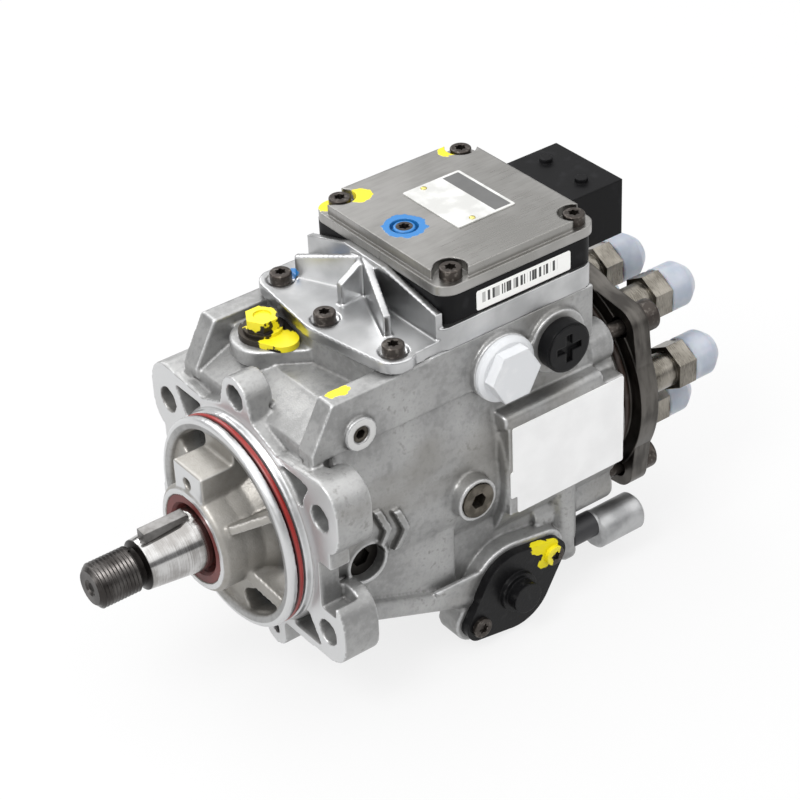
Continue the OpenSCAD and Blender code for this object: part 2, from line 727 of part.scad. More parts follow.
module trigger_wheel() {
    color([0.45, 0.45, 0.46]) along_x(feed_end + 20) linear_extrude(3) difference() {
        circle(d = trigger_d);
        circle(r = shaft_r - 1.5);
        for (turn = [0:360 / trigger_teeth:359]) {
            rotate(turn) translate([trigger_d / 2 - 3, -1.2]) square([6, 2.4]);
        }
    }
}

// The angle sensor hangs over the trigger wheel on an arm of the cam ring
module angle_sensor() {
    arm_z = trigger_d / 2 + 4.5;
    color([0.1, 0.1, 0.12]) {
        translate([feed_end + 18, -5, trigger_d / 2 + free_gap]) cube([7, 10, 5.2]);
        translate([feed_end + 18, -4, arm_z]) cube([cam_front - feed_end - 18, 8, 2]);
    }
}

// The cam ring with one inward lobe for each cylinder
module cam_ring() {
    lobe = 8;
    color([0.48, 0.48, 0.5]) difference() {
        along_x(cam_front) linear_extrude(cam_w) difference() {
            circle(r = cam_ring_r);
            difference() {
                circle(r = cam_track_r);
                for (turn = [90:360 / cylinders:449]) {
                    rotate(turn) translate([cam_tip_r + lobe, 0]) circle(r = lobe);
                }
            }
        }
        rotate([pin_angle, 0, 0]) translate([cam_x, 0, -cam_ring_r - 1])
            cylinder(d = cam_pin_d, h = 6);
    }
}

// The pin reaches from the cam ring into the timing piston
module cam_pin() {
    color([0.58, 0.58, 0.6]) rotate([pin_angle, 0, 0]) translate([cam_x, 0, 0]) {
        translate([0, 0, -timing_drop + 3]) cylinder(d = cam_pin_d, h = timing_drop - cam_ring_r + 2);
        translate([0, 0, -timing_drop]) sphere(d = cam_pin_d + 1.5);
    }
}

module roller_shoes() {
    color([0.56, 0.54, 0.5]) for (turn = [0:360 / plungers_n:359]) {
        rotate([turn, 0, 0]) difference() {
            translate([cam_front, -shoe_w / 2 + 0.02, shoe_in_r])
                cube([cam_w, shoe_w - 0.04, roller_at - shoe_in_r + 1]);
            translate([cam_front - 1, 0, roller_at]) rotate([0, 90, 0])
                cylinder(d = roller_d + 0.04, h = cam_w + 2);
        }
    }
}

module rollers() {
    color([0.7, 0.7, 0.72]) for (turn = [0:360 / plungers_n:359]) {
        rotate([turn, 0, 0]) translate([cam_front + 0.5, 0, roller_at]) rotate([0, 90, 0])
            cylinder(d = roller_d, h = cam_w - 1);
    }
}

module plungers() {
    color([0.75, 0.75, 0.77]) for (turn = [0:360 / plungers_n:359]) {
        rotate([turn, 0, 0]) translate([cam_x, 0, 4]) cylinder(d = plunger_d, h = shoe_in_r - 4);
    }
}

// The distributor rotor turns in the head and holds the plungers
module distributor_rotor() {
    color([0.6, 0.6, 0.62]) difference() {
        along_x(carrier_x + 5) cylinder(d = rotor_d, h = plate_end - 12 - carrier_x - 5);
        for (turn = [0:360 / plungers_n:359]) {
            rotate([turn, 0, 0]) translate([cam_x, 0, 2]) cylinder(d = plunger_d, h = 20);
        }
        along_x(cam_x - plunger_d) cylinder(d = 6, h = 100);
        translate([head_front + 22, 0, -1.5]) cube([8, 20, 3]);
    }
}

// The head: a sleeve in the casting, a neck and the plate with its four screw lobes
module distributor_head() {
    color([0.42, 0.4, 0.37]) difference() {
        union() {
            along_x(head_front) cylinder(r = chamber_r, h = body_end - head_front);
            along_x(body_end) cylinder(d = neck_d, h = neck_l + 1);
            along_x(plate_x) cylinder(d = head_d, h = head_t);
            for (turn = [45:90:315]) {
                along_x(plate_x + 0.4) rotate(turn)
                    link([head_screw_r - 0.5, 0], head_lobe_r, [4, 0], head_d / 2 - 5, head_t - 0.8);
            }
        }
        along_x(body_end + 5.5) difference() {
            cylinder(d = neck_d + 10, h = 3.4);
            translate([0, 0, -1]) cylinder(d = neck_d - 5, h = 6);
        }
        along_x(head_front - 1) cylinder(d = rotor_d + 2 * run_gap, h = plate_end - head_front - 10);
        along_x(plate_end - 12) cylinder(d = 16, h = 14);
        for (turn = [0:360 / cylinders:359]) {
            rotate([turn, 0, 0]) translate([delivery_x - holder_root, delivery_r, 0])
                rotate([0, 90, 0]) cylinder(d = holder_d - 3, h = holder_root + 1);
        }
        for (turn = [45:90:315]) {
            rotate([turn, 0, 0]) translate([plate_x - 1, head_screw_r, 0]) rotate([0, 90, 0])
                cylinder(d = head_screw_d + 1, h = head_t + 2);
        }
    }
}

module head_seal_ring() {
    section = 3.2;
    color([0.35, 0.22, 0.14]) lathe() translate([neck_d / 2 - 2.5 + section / 2, body_end + 7.2])
        circle(d = section);
}

module head_screws() {
    color([0.2, 0.18, 0.16]) for (turn = [45:90:315]) {
        rotate([turn, 0, 0]) translate([plate_end, head_screw_r, 0]) rotate([0, 90, 0])
            socket_screw(head_screw_d, plate_end - body_end + 18, head_screw_d + 5, head_screw_d, 6);
    }
}

// A delivery valve holder: screwed root, barrel, hexagon and nipple
module delivery_holder(number) {
    rotate([(number - 1) * 360 / cylinders, 0, 0]) translate([delivery_x, delivery_r, 0])
        rotate([0, 90, 0]) color([0.5, 0.47, 0.41]) difference() {
            union() {
                translate([0, 0, -holder_root]) cylinder(d = holder_d - 3, h = holder_root + 1);
                cylinder(d = holder_d, h = holder_l + 1);
                translate([0, 0, holder_l]) hexagon(holder_af, holder_hex_l);
                translate([0, 0, holder_l]) cylinder(d = nipple_d, h = holder_hex_l + nipple_l);
            }
            translate([0, 0, -holder_root - 1]) cylinder(r = valve_r + free_gap, h = holder_root + 13);
            translate([0, 0, 5]) cylinder(d = 2.4, h = 60);
            translate([0, 0, holder_l + holder_hex_l + nipple_l - 4]) cylinder(d1 = 2.4, d2 = 9, h = 4.01);
        }
}

// A delivery valve slides in its holder
module delivery_valve(number) {
    rotate([(number - 1) * 360 / cylinders, 0, 0]) translate([delivery_x, delivery_r, 0])
        rotate([0, 90, 0]) color([0.7, 0.7, 0.7]) {
            translate([0, 0, -holder_root]) cylinder(r1 = 1.2, r2 = valve_r, h = 2);
            translate([0, 0, 2 - holder_root]) cylinder(r = valve_r, h = 9);
            translate([0, 0, 10 - holder_root]) cylinder(r = 1.5, h = 6);
        }
}

// A soft push-on cap over a delivery connection
module delivery_cap(number) {
    cap_r = delivery_cap_d / 2;
    cap_l = nipple_l + 3.5;
    rotate([(number - 1) * 360 / cylinders, 0, 0]) translate([nipple_x, delivery_r, 0])
        rotate([0, 90, 0]) color([0.86, 0.9, 0.95, 0.8]) rotate_extrude()
            polygon([[nipple_d / 2, 0], [cap_r - 0.4, 0], [cap_r, 0.6], [cap_r, cap_l - 4.5],
                [cap_r - 1.2, cap_l - 2.6], [cap_r - 3.2, cap_l], [0, cap_l], [0, nipple_l + 1],
                [nipple_d / 2, nipple_l + 1]]);
}

// The metering solenoid closes the middle of the head
module metering_solenoid() {
    color([0.3, 0.29, 0.28]) difference() {
        union() {
            along_x(plate_end - 11.7) cylinder(d = 16, h = 12);
            along_x(plate_end) cylinder(d = solenoid_d, h = solenoid_l - 6);
            along_x(plate_end) hexagon(solenoid_d - 3, solenoid_l - 2);
            along_x(plate_end + solenoid_l - 3) cylinder(d = solenoid_d - 9, h = 3);
        }
        along_x(plate_end - 12) cylinder(d = 4 + 2 * run_gap, h = solenoid_l + 2);
    }
}

// The needle opens and closes the filling port at the end of the rotor
module metering_needle() {
    color([0.72, 0.72, 0.74]) {
        along_x(plate_end - 24) cylinder(d = 6 - 2 * run_gap, h = 11.6);
        along_x(plate_end - 13) cylinder(d = 4, h = solenoid_l);
    }
}

module timing_piston() {
    color([0.6, 0.6, 0.62]) difference() {
        out_of_side(cam_x, piston_rest + timing_piston_l / 2, -timing_drop)
            cylinder(d = timing_bore_d, h = timing_piston_l);
        translate([cam_x - cam_pin_d / 2 - 1.5, piston_rest - cam_pin_d / 2 - 1.6, -timing_drop - 8])
            cube([cam_pin_d + 3, cam_pin_d + 3.2, 30]);
        out_of_side(cam_x, piston_rest + timing_piston_l / 2 + 1, -timing_drop)
            cylinder(d = 13, h = 7);
    }
}

// The spring's wire follows a helix between the piston and the far plug
module timing_spring() {
    turns = 6;
    steps = 20;
    sides = 8;
    wire = 1.6;
    coil_r = 5.4;
    low = piston_rest + timing_piston_l / 2 - 6 + wire / 2;
    high = spring_seat - wire / 2;
    rings = turns * steps;
    points = [for (i = [0:rings], k = [0:sides - 1]) let (a = i * 360 / steps,
        b = k * 360 / sides, r = coil_r + wire / 2 * cos(b))
        [cam_x + r * cos(a), low + (high - low) * i / rings + wire / 2 * sin(b),
            -timing_drop + r * sin(a)]];
    skin = [for (i = [0:rings - 1], k = [0:sides - 1]) let (n = (k + 1) % sides)
        [i * sides + k, i * sides + n, (i + 1) * sides + n, (i + 1) * sides + k]];
    start = [for (k = [0:sides - 1]) sides - 1 - k];
    end = [for (k = [0:sides - 1]) rings * sides + k];
    color([0.4, 0.4, 0.42]) polyhedron(points, concat([start], skin, [end]));
}

module timing_cover() {
    color([0.13, 0.13, 0.14]) out_of_side(cover_mid[0], -timing_seat, cover_mid[1]) difference() {
        union() {
            timing_plate(cover_t);
            cylinder(r1 = 9.5, r2 = 8.5, h = cover_t + 2);
            cylinder(r = 6.6, h = cover_t + 7);
            translate([0, 0, -4]) cylinder(d = timing_bore_d - 0.1, h = 5);
        }
        for (side = [-1, 1]) {
            translate([side * cover_screw_r * cos(cover_slant), side * cover_screw_r * sin(cover_slant), -1])
                cylinder(d = small_screw_d + 0.6, h = cover_t + 2);
        }
    }
}

module timing_cover_screws() {
    color([0.17, 0.16, 0.13]) for (side = [-1, 1]) {
        out_of_side(cover_mid[0] + side * cover_screw_r * cos(cover_slant), -timing_seat - cover_t,
            cover_mid[1] + side * cover_screw_r * sin(cover_slant))
            socket_screw(small_screw_d, 14, small_head_d, 1.8, 4);
    }
}

module timing_plug() {
    color([0.45, 0.43, 0.38]) translate([cam_x, spring_seat, -timing_drop]) rotate([-90, 0, 0])
        difference() {
            union() {
                cylinder(d = timing_bore_d, h = 7);
                translate([0, 0, timing_seat - 2 - spring_seat]) cylinder(d = timing_bore_d + 8, h = 4);
            }
            translate([0, 0, timing_seat - spring_seat - 3]) hexagon(10, 10);
        }
}

module timing_solenoid() {
    can_r = valve_can_d / 2;
    color([0.68, 0.69, 0.7]) {
        translate(valve_can_at) rotate([0, 90, 0]) rotate_extrude() polygon([[0, 0], [can_r - 1.5, 0],
            [can_r, 1.5], [can_r, valve_can_l - 1.5], [can_r - 1.5, valve_can_l], [0, valve_can_l]]);
        translate([clamp_boss_at[0] + 3, valve_can_at[1], valve_neck_z]) rotate([0, 90, 0])
            cylinder(r = valve_neck_r, h = valve_can_at[0] - clamp_boss_at[0] - 2);
        translate([clamp_boss_at[0] - 2, valve_can_at[1], valve_neck_z]) rotate([0, 90, 0])
            cylinder(r = 2.99, h = 6);
    }
}

module inlet_fitting() {
    color([0.62, 0.6, 0.55]) out_of_side(inlet_x, 12 - deck_w / 2, port_z) difference() {
        cylinder(d = inlet_thread_d, h = 20);
        translate([0, 0, -1]) cylinder(d = 9, h = 40);
    }
}

module inlet_cap() {
    color([0.93, 0.93, 0.92]) out_of_side(inlet_x, -deck_w / 2 - port_boss_h, port_z) difference() {
        union() {
            cylinder(r = 13.6, h = 1.6);
            translate([0, 0, 1.6]) cylinder(r1 = 13.6, r2 = 11.8, h = 1.4);
            hexagon(inlet_cap_af, 8);
        }
        translate([0, 0, -1]) cylinder(d = inlet_thread_d, h = 6.2);
    }
}

module return_fitting() {
    color([0.62, 0.6, 0.55]) out_of_side(return_x, 12 - deck_w / 2, port_z) difference() {
        cylinder(d = return_thread_d, h = 18.4);
        translate([0, 0, -1]) cylinder(d = 8, h = 40);
    }
}

module return_cap() {
    color([0.08, 0.08, 0.09]) out_of_side(return_x, -deck_w / 2 - port_boss_h, port_z) difference() {
        union() {
            cylinder(d = return_cap_d, h = 5.6);
            cylinder(d = return_cap_d - 1.6, h = 6.2);
        }
        translate([0, 0, -1]) cylinder(d = return_thread_d, h = 4.6);
        translate([0, 0, 4.6]) linear_extrude(4) {
            square([3, 12], center = true);
            square([12, 3], center = true);
        }
    }
}

// The outline that the three front lugs and the unit's front share
module lug_outline(r, h) {
    link(unit_screws[0], r, unit_screws[1], r, h);
    link(unit_screws[1], r, unit_screws[2], r, h);
    linear_extrude(h) polygon([unit_screws[0] + [0, r], unit_screws[1], unit_screws[2] - [0, r - 1.5],
        [unit_x + 2, 1 - unit_w / 2], [unit_x + 2, unit_w / 2 - 1]]);
}

// The fan of ribs on the front apron, and the crown wall behind it
module base_ribs() {
    wall_front = unit_x;
    fan = [[51, 31], [51, 3], [51, -26.5]];
    crown = [unit_x + 1, 4];
    for (tip = fan) {
        span = crown - tip;
        reach = norm(span);
        translate([tip[0], tip[1], apron_z - 0.5]) rotate([0, 0, atan2(span[1], span[0])])
            translate([0, base_rib_t / 2, 0]) rotate([90, 0, 0]) linear_extrude(base_rib_t)
                polygon([[0, 0], [0, base_rib_h + 0.5], [reach, base_z + crown_h - apron_z],
                    [reach, 0]]);
    }
    translate([wall_front, 0, 0]) rotate([90, 0, 90]) linear_extrude(base_rib_t)
        polygon([[-unit_w / 2 + 2, apron_z - 1], [-unit_w / 2 + 2, base_z + crown_h - 6],
            [-8, base_z + crown_h], [16, base_z + crown_h], [unit_w / 2 - 2, base_z + crown_h - 7.5],
            [unit_w / 2 - 2, apron_z - 1]]);
}

module control_base() {
    color([0.82, 0.83, 0.84]) difference() {
        union() {
            translate([0, 0, deck_z]) lug_outline(lug_r, apron_t);
            translate([0, 0, deck_z]) linear_extrude(base_h)
                round_rect([unit_x, -unit_w / 2], [deck_end, unit_w / 2], 4);
            base_ribs();
        }
        for (at = unit_screws) {
            translate([at[0], at[1], deck_z - 1]) cylinder(d = small_screw_d + 0.5, h = apron_t + 2);
            translate([at[0], at[1], apron_z - 0.8]) cylinder(d = small_head_d + 3, h = 20);
        }
        for (x = lid_screw_x, side = [-1, 1]) {
            translate([min(x, deck_end - 5), side * lid_screw_y, base_z - 7])
                cylinder(d = small_screw_d, h = 9);
        }
        translate([0, 0, deck_z + 2.5]) linear_extrude(base_h)
            round_rect([frame_x + 6, -unit_w / 2 + 14], [deck_end - 8, unit_w / 2 - 14], 4);
    }
}

// The black frame round the electronics, in one moulding with the connector
module control_frame() {
    half = lid_w / 2;
    plug_y = [-23, plug_w - 23];
    plug_z = frame_z + 5 - plug_h;
    color([0.07, 0.07, 0.08]) difference() {
        union() {
            translate([0, 0, base_z]) linear_extrude(frame_h) difference() {
                round_rect([frame_x, -half], [lid_end - 2, half], 6);
                difference() {
                    round_rect([frame_x + frame_wall, frame_wall - half],
                        [lid_end - 2 - frame_wall, half - frame_wall], 3);
                    for (x = lid_screw_x, side = [-1, 1]) {
                        translate([x, side * lid_screw_y]) circle(r = 5.5);
                    }
                }
            }
            translate([lid_end - 3, plug_y[0], plug_z]) cube([plug_l + 3, plug_w, plug_h - 5]);
            translate([lid_end + 1.5, plug_y[0], frame_z - 1]) cube([plug_l - 1.5, plug_w, 6]);
            for (knob = [plug_y[0] + 9, plug_y[1] - 9]) {
                translate([lid_end + plug_l - 13, knob, frame_z + 4]) cylinder(r = 2.6, h = 3);
            }
        }
        translate([lid_end + 5, plug_y[0] + 3, plug_z + 3]) cube([plug_l, plug_w - 6, plug_h - 6]);
        for (x = lid_screw_x, side = [-1, 1]) {
            translate([x, side * lid_screw_y, base_z - 1]) cylinder(d = small_screw_d + 0.5, h = 30);
        }
        translate([lid_end - 4, -lid_w, plug_z - 1]) cube([4, lid_w / 2 + 3, base_z - plug_z + 1]);
    }
    color([0.75, 0.68, 0.4]) for (row = [0:2], col = [0:2]) {
        translate([lid_end + 4, plug_y[0] + 8 + col * 11.5, plug_z + 6 + row * 6]) cube([6, 2, 0.8]);
    }
}

// The lid: a low rim, a top panel, and a notch round each corner screw
module control_lid() {
    half = lid_w / 2;
    color([0.71, 0.7, 0.67]) difference() {
        union() {
            translate([0, 0, frame_z]) linear_extrude(lid_h - 4) round_rect([lid_front, -half], [lid_end, half], 7);
            translate([0, 0, frame_z]) linear_extrude(lid_h)
                round_rect([lid_front + 1.8, 1.8 - half], [lid_end - 1.8, half - 1.8], 5.5);
        }
        for (x = lid_screw_x, side = [-1, 1]) {
            outward_x = x < (lid_front + lid_end) / 2 ? -1 : 1;
            translate([0, 0, notch_z]) link([x, side * lid_screw_y], 6.4,
                [x + outward_x * 8, side * (lid_screw_y + 8)], 7, 10);
            translate([x, side * lid_screw_y, frame_z - 1]) cylinder(d = small_screw_d + 0.5, h = 30);
        }
        translate([mid_screw[0], mid_screw[1], notch_z + 1.5]) cylinder(d = small_head_d + 2.4, h = 10);
        translate([mid_screw[0], mid_screw[1], frame_z - 1]) cylinder(d = small_screw_d + 0.5, h = 30);
    }
}

module lid_screws() {
    color([0.15, 0.13, 0.12]) {
        for (x = lid_screw_x, side = [-1, 1]) {
            translate([x, side * lid_screw_y, notch_z])
                socket_screw(small_screw_d, notch_z - base_z, small_head_d, small_head_h, 4);
        }
        translate([mid_screw[0], mid_screw[1], notch_z + 1.5])
            socket_screw(small_screw_d, 8, small_head_d, small_head_h - 1.5, 4);
    }
}

module base_screws() {
    color([0.15, 0.13, 0.12]) for (at = unit_screws) {
        translate([at[0], at[1], apron_z - 0.8])
            socket_screw(small_screw_d, apron_t + 10, small_head_d, small_head_h, 4);
    }
}

// The circuit board lies on the base inside the frame
module circuit_board() {
    half = lid_w / 2 - frame_wall - 1;
    color([0.1, 0.35, 0.18]) translate([0, 0, base_z]) {
        linear_extrude(board_t)
            round_rect([frame_x + board_end_gap, -half], [lid_end - board_end_gap, half], 2);
        translate([frame_x + board_end_gap + 12, -12, 1]) cube([chip_w, chip_w, chip_h]);
        translate([frame_x + board_end_gap + 38, -14, 1]) cube([coil_l, coil_w, coil_h]);
    }
}

// The three plugs on the visible side
module side_plugs() {
    color([0.42, 0.4, 0.34]) out_of_side(plug_boss_at[0], 9 - barrel_r, plug_boss_at[1]) difference() {
        union() {
            cylinder(r = 7.2, h = 14);
            translate([0, 0, 14]) cylinder(r = 7.2, h = 1);
        }
        translate([0, 0, 10]) hexagon(6, 10);
    }
    color([0.1, 0.1, 0.1]) out_of_side(recess_plug_at[0], 9 - barrel_r, recess_plug_at[1]) difference() {
        cylinder(r = 7.8, h = 5);
        translate([0, 0, 3]) hexagon(7, 10);
    }
    color([0.3, 0.3, 0.3]) out_of_side(small_plug_at[0], 6 - side_half, small_plug_at[1]) difference() {
        cylinder(r = 3.4, h = 8.6);
        translate([0, 0, 5]) hexagon(3.6, 10);
    }
}

pump_housing();
pilot_o_ring();
shaft_seal();
front_bearing();
drive_shaft();
shaft_key();
lock_bolt();
lock_washer();
feed_rotor();
feed_vanes();
feed_ring();
feed_cover();
trigger_wheel();
angle_sensor();
cam_ring();
cam_pin();
roller_shoes();
rollers();
plungers();
distributor_rotor();
distributor_head();
head_seal_ring();
head_screws();
delivery_holder(1);  // delivery_holder_1
delivery_holder(2);  // delivery_holder_2
delivery_holder(3);  // delivery_holder_3
delivery_holder(4);  // delivery_holder_4
delivery_holder(5);  // delivery_holder_5
delivery_holder(6);  // delivery_holder_6
delivery_valve(1);  // delivery_valve_1
delivery_valve(2);  // delivery_valve_2
delivery_valve(3);  // delivery_valve_3
delivery_valve(4);  // delivery_valve_4
delivery_valve(5);  // delivery_valve_5
delivery_valve(6);  // delivery_valve_6
delivery_cap(1);  // delivery_cap_1
delivery_cap(2);  // delivery_cap_2
delivery_cap(3);  // delivery_cap_3
delivery_cap(4);  // delivery_cap_4
delivery_cap(5);  // delivery_cap_5
delivery_cap(6);  // delivery_cap_6
metering_solenoid();
metering_needle();
timing_piston();
timing_spring();
timing_cover();
timing_cover_screws();
timing_plug();
timing_solenoid();
inlet_fitting();
inlet_cap();
return_fitting();
return_cap();
control_base();
control_frame();
control_lid();
lid_screws();
base_screws();
circuit_board();
side_plugs();
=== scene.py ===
# Distributor fuel pump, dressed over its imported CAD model. Everything is in metres.
import json
import math

import bmesh
import bpy
from mathutils import Matrix, Vector


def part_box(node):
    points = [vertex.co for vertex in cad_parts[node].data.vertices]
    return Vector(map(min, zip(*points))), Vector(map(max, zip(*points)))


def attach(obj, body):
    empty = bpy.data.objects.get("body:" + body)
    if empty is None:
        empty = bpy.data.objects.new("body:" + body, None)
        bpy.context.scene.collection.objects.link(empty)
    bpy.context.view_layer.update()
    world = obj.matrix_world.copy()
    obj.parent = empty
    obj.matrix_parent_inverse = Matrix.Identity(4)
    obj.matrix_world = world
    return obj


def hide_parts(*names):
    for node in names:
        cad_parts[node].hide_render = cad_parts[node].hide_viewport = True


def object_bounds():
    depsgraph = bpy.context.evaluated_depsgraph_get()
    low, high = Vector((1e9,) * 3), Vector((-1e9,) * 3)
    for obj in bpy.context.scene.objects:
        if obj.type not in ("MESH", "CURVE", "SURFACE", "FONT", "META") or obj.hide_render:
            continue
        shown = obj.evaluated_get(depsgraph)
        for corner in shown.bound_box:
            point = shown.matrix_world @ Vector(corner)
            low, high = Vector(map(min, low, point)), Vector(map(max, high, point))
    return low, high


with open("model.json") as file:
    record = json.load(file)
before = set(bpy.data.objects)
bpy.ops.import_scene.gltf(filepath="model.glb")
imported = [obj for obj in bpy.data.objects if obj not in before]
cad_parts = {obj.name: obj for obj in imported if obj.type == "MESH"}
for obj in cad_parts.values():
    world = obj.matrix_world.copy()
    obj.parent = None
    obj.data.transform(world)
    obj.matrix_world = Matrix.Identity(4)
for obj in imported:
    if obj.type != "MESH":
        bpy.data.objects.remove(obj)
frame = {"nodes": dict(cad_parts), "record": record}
cad_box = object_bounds()
nodes = frame["nodes"]

# Camera. It stands at the place solved from the photograph, in front of the shaft's end, to
# the side of the ports and above, and its image plane is turned by under three degrees.
right = Vector((0.793536, -0.607218, -0.039838))
down = Vector((-0.369209, -0.428388, -0.824723))
ahead = Vector((0.483720, 0.669156, -0.564131))
stand = Vector((-0.382246, -0.631460, 0.551346))
view_data = bpy.data.cameras.new("camera")
view_data.sensor_width = 36.0
view_data.lens = 109.105
view_data.clip_start = 0.05
view_data.clip_end = 20.0
view_object = bpy.data.objects.new("camera", view_data)
view_object.matrix_world = Matrix((
    (right.x, -down.x, -ahead.x, stand.x),
    (right.y, -down.y, -ahead.y, stand.y),
    (right.z, -down.z, -ahead.z, stand.z),
    (0, 0, 0, 1)))
bpy.context.scene.collection.objects.link(view_object)
bpy.context.scene.camera = view_object
bpy.context.scene.view_settings.view_transform = "Standard"


# Room. The pump stands on white paper in a studio that is white near the floor, so that the
# camera and bright metal both see white there, and that has its large soft lights above.
class Wire:
    """One output in a material's nodes, which can be used in sums as a number is."""

    def __init__(self, tree, socket=None):
        self.tree = tree
        self.socket = socket

    def node(self, kind, settings=None, values=None, output=0):
        made = self.tree.nodes.new(kind)
        for name, value in (settings or {}).items():
            if name == "stops":
                ramp = made.color_ramp.elements
                while len(ramp) < len(value):
                    ramp.new(0.5)
                for stop, (place, colour) in zip(ramp, value):
                    stop.position = place
                    stop.color = colour
            else:
                setattr(made, name, value)
        for name, value in (values or {}).items():
            if isinstance(value, Wire):
                self.tree.links.new(value.socket, made.inputs[name])
            else:
                made.inputs[name].default_value = value
        return Wire(self.tree, made.outputs[output])

    def sum(self, operation, *others):
        values = {0: self}
        for place, other in enumerate(others):
            values[place + 1] = other
        return self.node("ShaderNodeMath", {"operation": operation}, values)

    def __add__(self, other):
        return self.sum("ADD", other)

    def __sub__(self, other):
        return self.sum("SUBTRACT", other)

    def __mul__(self, other):
        return self.sum("MULTIPLY", other)

    def __rsub__(self, other):
        return self.node("ShaderNodeMath", {"operation": "SUBTRACT"}, {0: other, 1: self})

    __radd__ = __add__
    __rmul__ = __mul__

    def step(self, low, high):
        """0 below low and 1 above high, smooth between them."""
        return self.node("ShaderNodeMapRange", {"interpolation_type": "SMOOTHSTEP"},
                         {"Value": self, "From Min": low, "From Max": high})

    def noise(self, scale, detail=3.0, stretch=(1, 1, 1)):
        """Cloudy noise over a vector, with its scale in turns for each metre."""
        moved = self.node("ShaderNodeMapping", {}, {"Vector": self, "Scale": stretch})
        return self.node("ShaderNodeTexNoise", {},
                         {"Vector": moved, "Scale": scale, "Detail": detail})

    def part(self, axis):
        """One coordinate of a vector."""
        return self.node("ShaderNodeSeparateXYZ", {}, {0: self}, output="XYZ".index(axis))

    def far_from(self, point):
        """How far a vector is from a point."""
        return self.node("ShaderNodeVectorMath", {"operation": "DISTANCE"}, {0: self, 1: point},
                         output=1)

    def seen(self):
        """1 for rays that come from the camera, from a reflection or through glass."""
        path = self.node("ShaderNodeLightPath").socket.node.outputs
        camera, glossy, through = [Wire(self.tree, path["Is %s Ray" % kind])
                                   for kind in ("Camera", "Glossy", "Transmission")]
        return (camera + glossy + through).sum("MINIMUM", 1.0)

    def blend(self, low, high):
        """A colour between two colours, where this wire says how far."""
        ends = [end if isinstance(end, Wire) else (*end, 1) for end in (low, high)]
        return self.node("ShaderNodeMix", {"data_type": "RGBA"},
                         {0: self, 6: ends[0], 7: ends[1]}, output=2)


def new_finish(name):
    """A new material, its shader, and the place on the surface in the pump's own frame."""
    material = bpy.data.materials.new(name)
    material.use_nodes = True
    tree = material.node_tree
    shader = tree.nodes["Principled BSDF"]
    return material, shader, Wire(tree).node("ShaderNodeTexCoord", output=3)


paper, paper_shader, _ = new_finish("studio_paper")
paper_shader.inputs["Base Color"].default_value = (0.55, 0.55, 0.55, 1)
paper_shader.inputs["Roughness"].default_value = 0.95
paper_white = 0.8
floor_reach = 3.0
paper_seen = Wire(paper.node_tree).seen()
paper_light = paper_seen.node("ShaderNodeEmission", {}, {"Color": (1, 1, 1, 1), "Strength": 1.0})
paper_mix = paper_seen.node("ShaderNodeMixShader", {}, {0: paper_seen * paper_white})
paper.node_tree.links.new(paper_shader.outputs[0], paper_mix.socket.node.inputs[1])
paper.node_tree.links.new(paper_light.socket, paper_mix.socket.node.inputs[2])
paper.node_tree.links.new(paper_mix.socket, paper.node_tree.nodes["Material Output"].inputs[0])
floor_mesh = bpy.data.meshes.new("floor")
floor_form = bmesh.new()
bmesh.ops.create_grid(floor_form, x_segments=2, y_segments=2, size=floor_reach)
bmesh.ops.translate(floor_form, verts=floor_form.verts, vec=(0, 0, cad_box[0][2]))
floor_form.to_mesh(floor_mesh)
floor = bpy.data.objects.new("floor", floor_mesh)
bpy.context.scene.collection.objects.link(floor)
floor.data.materials.append(paper)

world = bpy.data.worlds.new("studio")
bpy.context.scene.world = world
world.use_nodes = True
sky = Wire(world.node_tree)
sky_height = sky.node("ShaderNodeTexCoord", output=0).part("Z")
sky_tone = sky_height.node("ShaderNodeValToRGB", {"stops": [
    (0.08, (1, 1, 1, 1)), (0.14, (0.2, 0.2, 0.205, 1)), (0.42, (0.3, 0.3, 0.305, 1)),
    (0.50, (1.15, 1.15, 1.15, 1)), (0.66, (1.6, 1.6, 1.6, 1)), (0.82, (1.9, 1.9, 1.9, 1))]},
    {0: sky_height})
world.node_tree.links.new(sky_tone.socket, world.node_tree.nodes["Background"].inputs[0])
world.node_tree.nodes["Background"].inputs[1].default_value = 1.0
lamp_aim = Vector((0.08, 0, 0.02))
lamps = (("key", (-0.8, -0.3, 1.2), 0.5, 11.0), ("side", (0.9, -1.1, 0.7), 0.7, 1.5),
         ("front", (-1.3, 0.1, 0.5), 0.5, 3.0), ("back", (0.3, 1.3, 1.0), 0.7, 6.0))
for name, place, size, power in lamps:
    lamp = bpy.data.lights.new(name, "AREA")
    lamp.size = size
    lamp.energy = power
    lamp_object = bpy.data.objects.new(name, lamp)
    lamp_object.location = place
    aim = lamp_aim - Vector(place)
    lamp_object.rotation_euler = aim.to_track_quat("-Z", "Y").to_euler()
    bpy.context.scene.collection.objects.link(lamp_object)


# Housing. One aluminium alloy casting with blasted skin. The pilot, hub, flange face and pads
# are machined bright, its edges are rounded by the mould, and its hollows carry painted shade.
def merged_copy(node):
    """A copy of a node's mesh whose loose triangles are joined at their corners."""
    form = bmesh.new()
    form.from_mesh(nodes[node].data)
    bmesh.ops.remove_doubles(form, verts=form.verts, dist=1e-6)
    return form


def prism(outline, low_x, high_x):
    """A solid along the shaft's axis, from an outline of places across and up."""
    form = bmesh.new()
    face = form.faces.new([form.verts.new((low_x, y, z)) for y, z in outline])
    raised = bmesh.ops.extrude_face_region(form, geom=[face])
    far_end = [part for part in raised["geom"] if isinstance(part, bmesh.types.BMVert)]
    bmesh.ops.translate(form, vec=(high_x - low_x, 0, 0), verts=far_end)
    bmesh.ops.recalc_face_normals(form, faces=form.faces)
    mesh = bpy.data.meshes.new("cut")
    form.to_mesh(mesh)
    form.free()
    cut = bpy.data.objects.new("cut", mesh)
    bpy.context.scene.collection.objects.link(cut)
    return cut


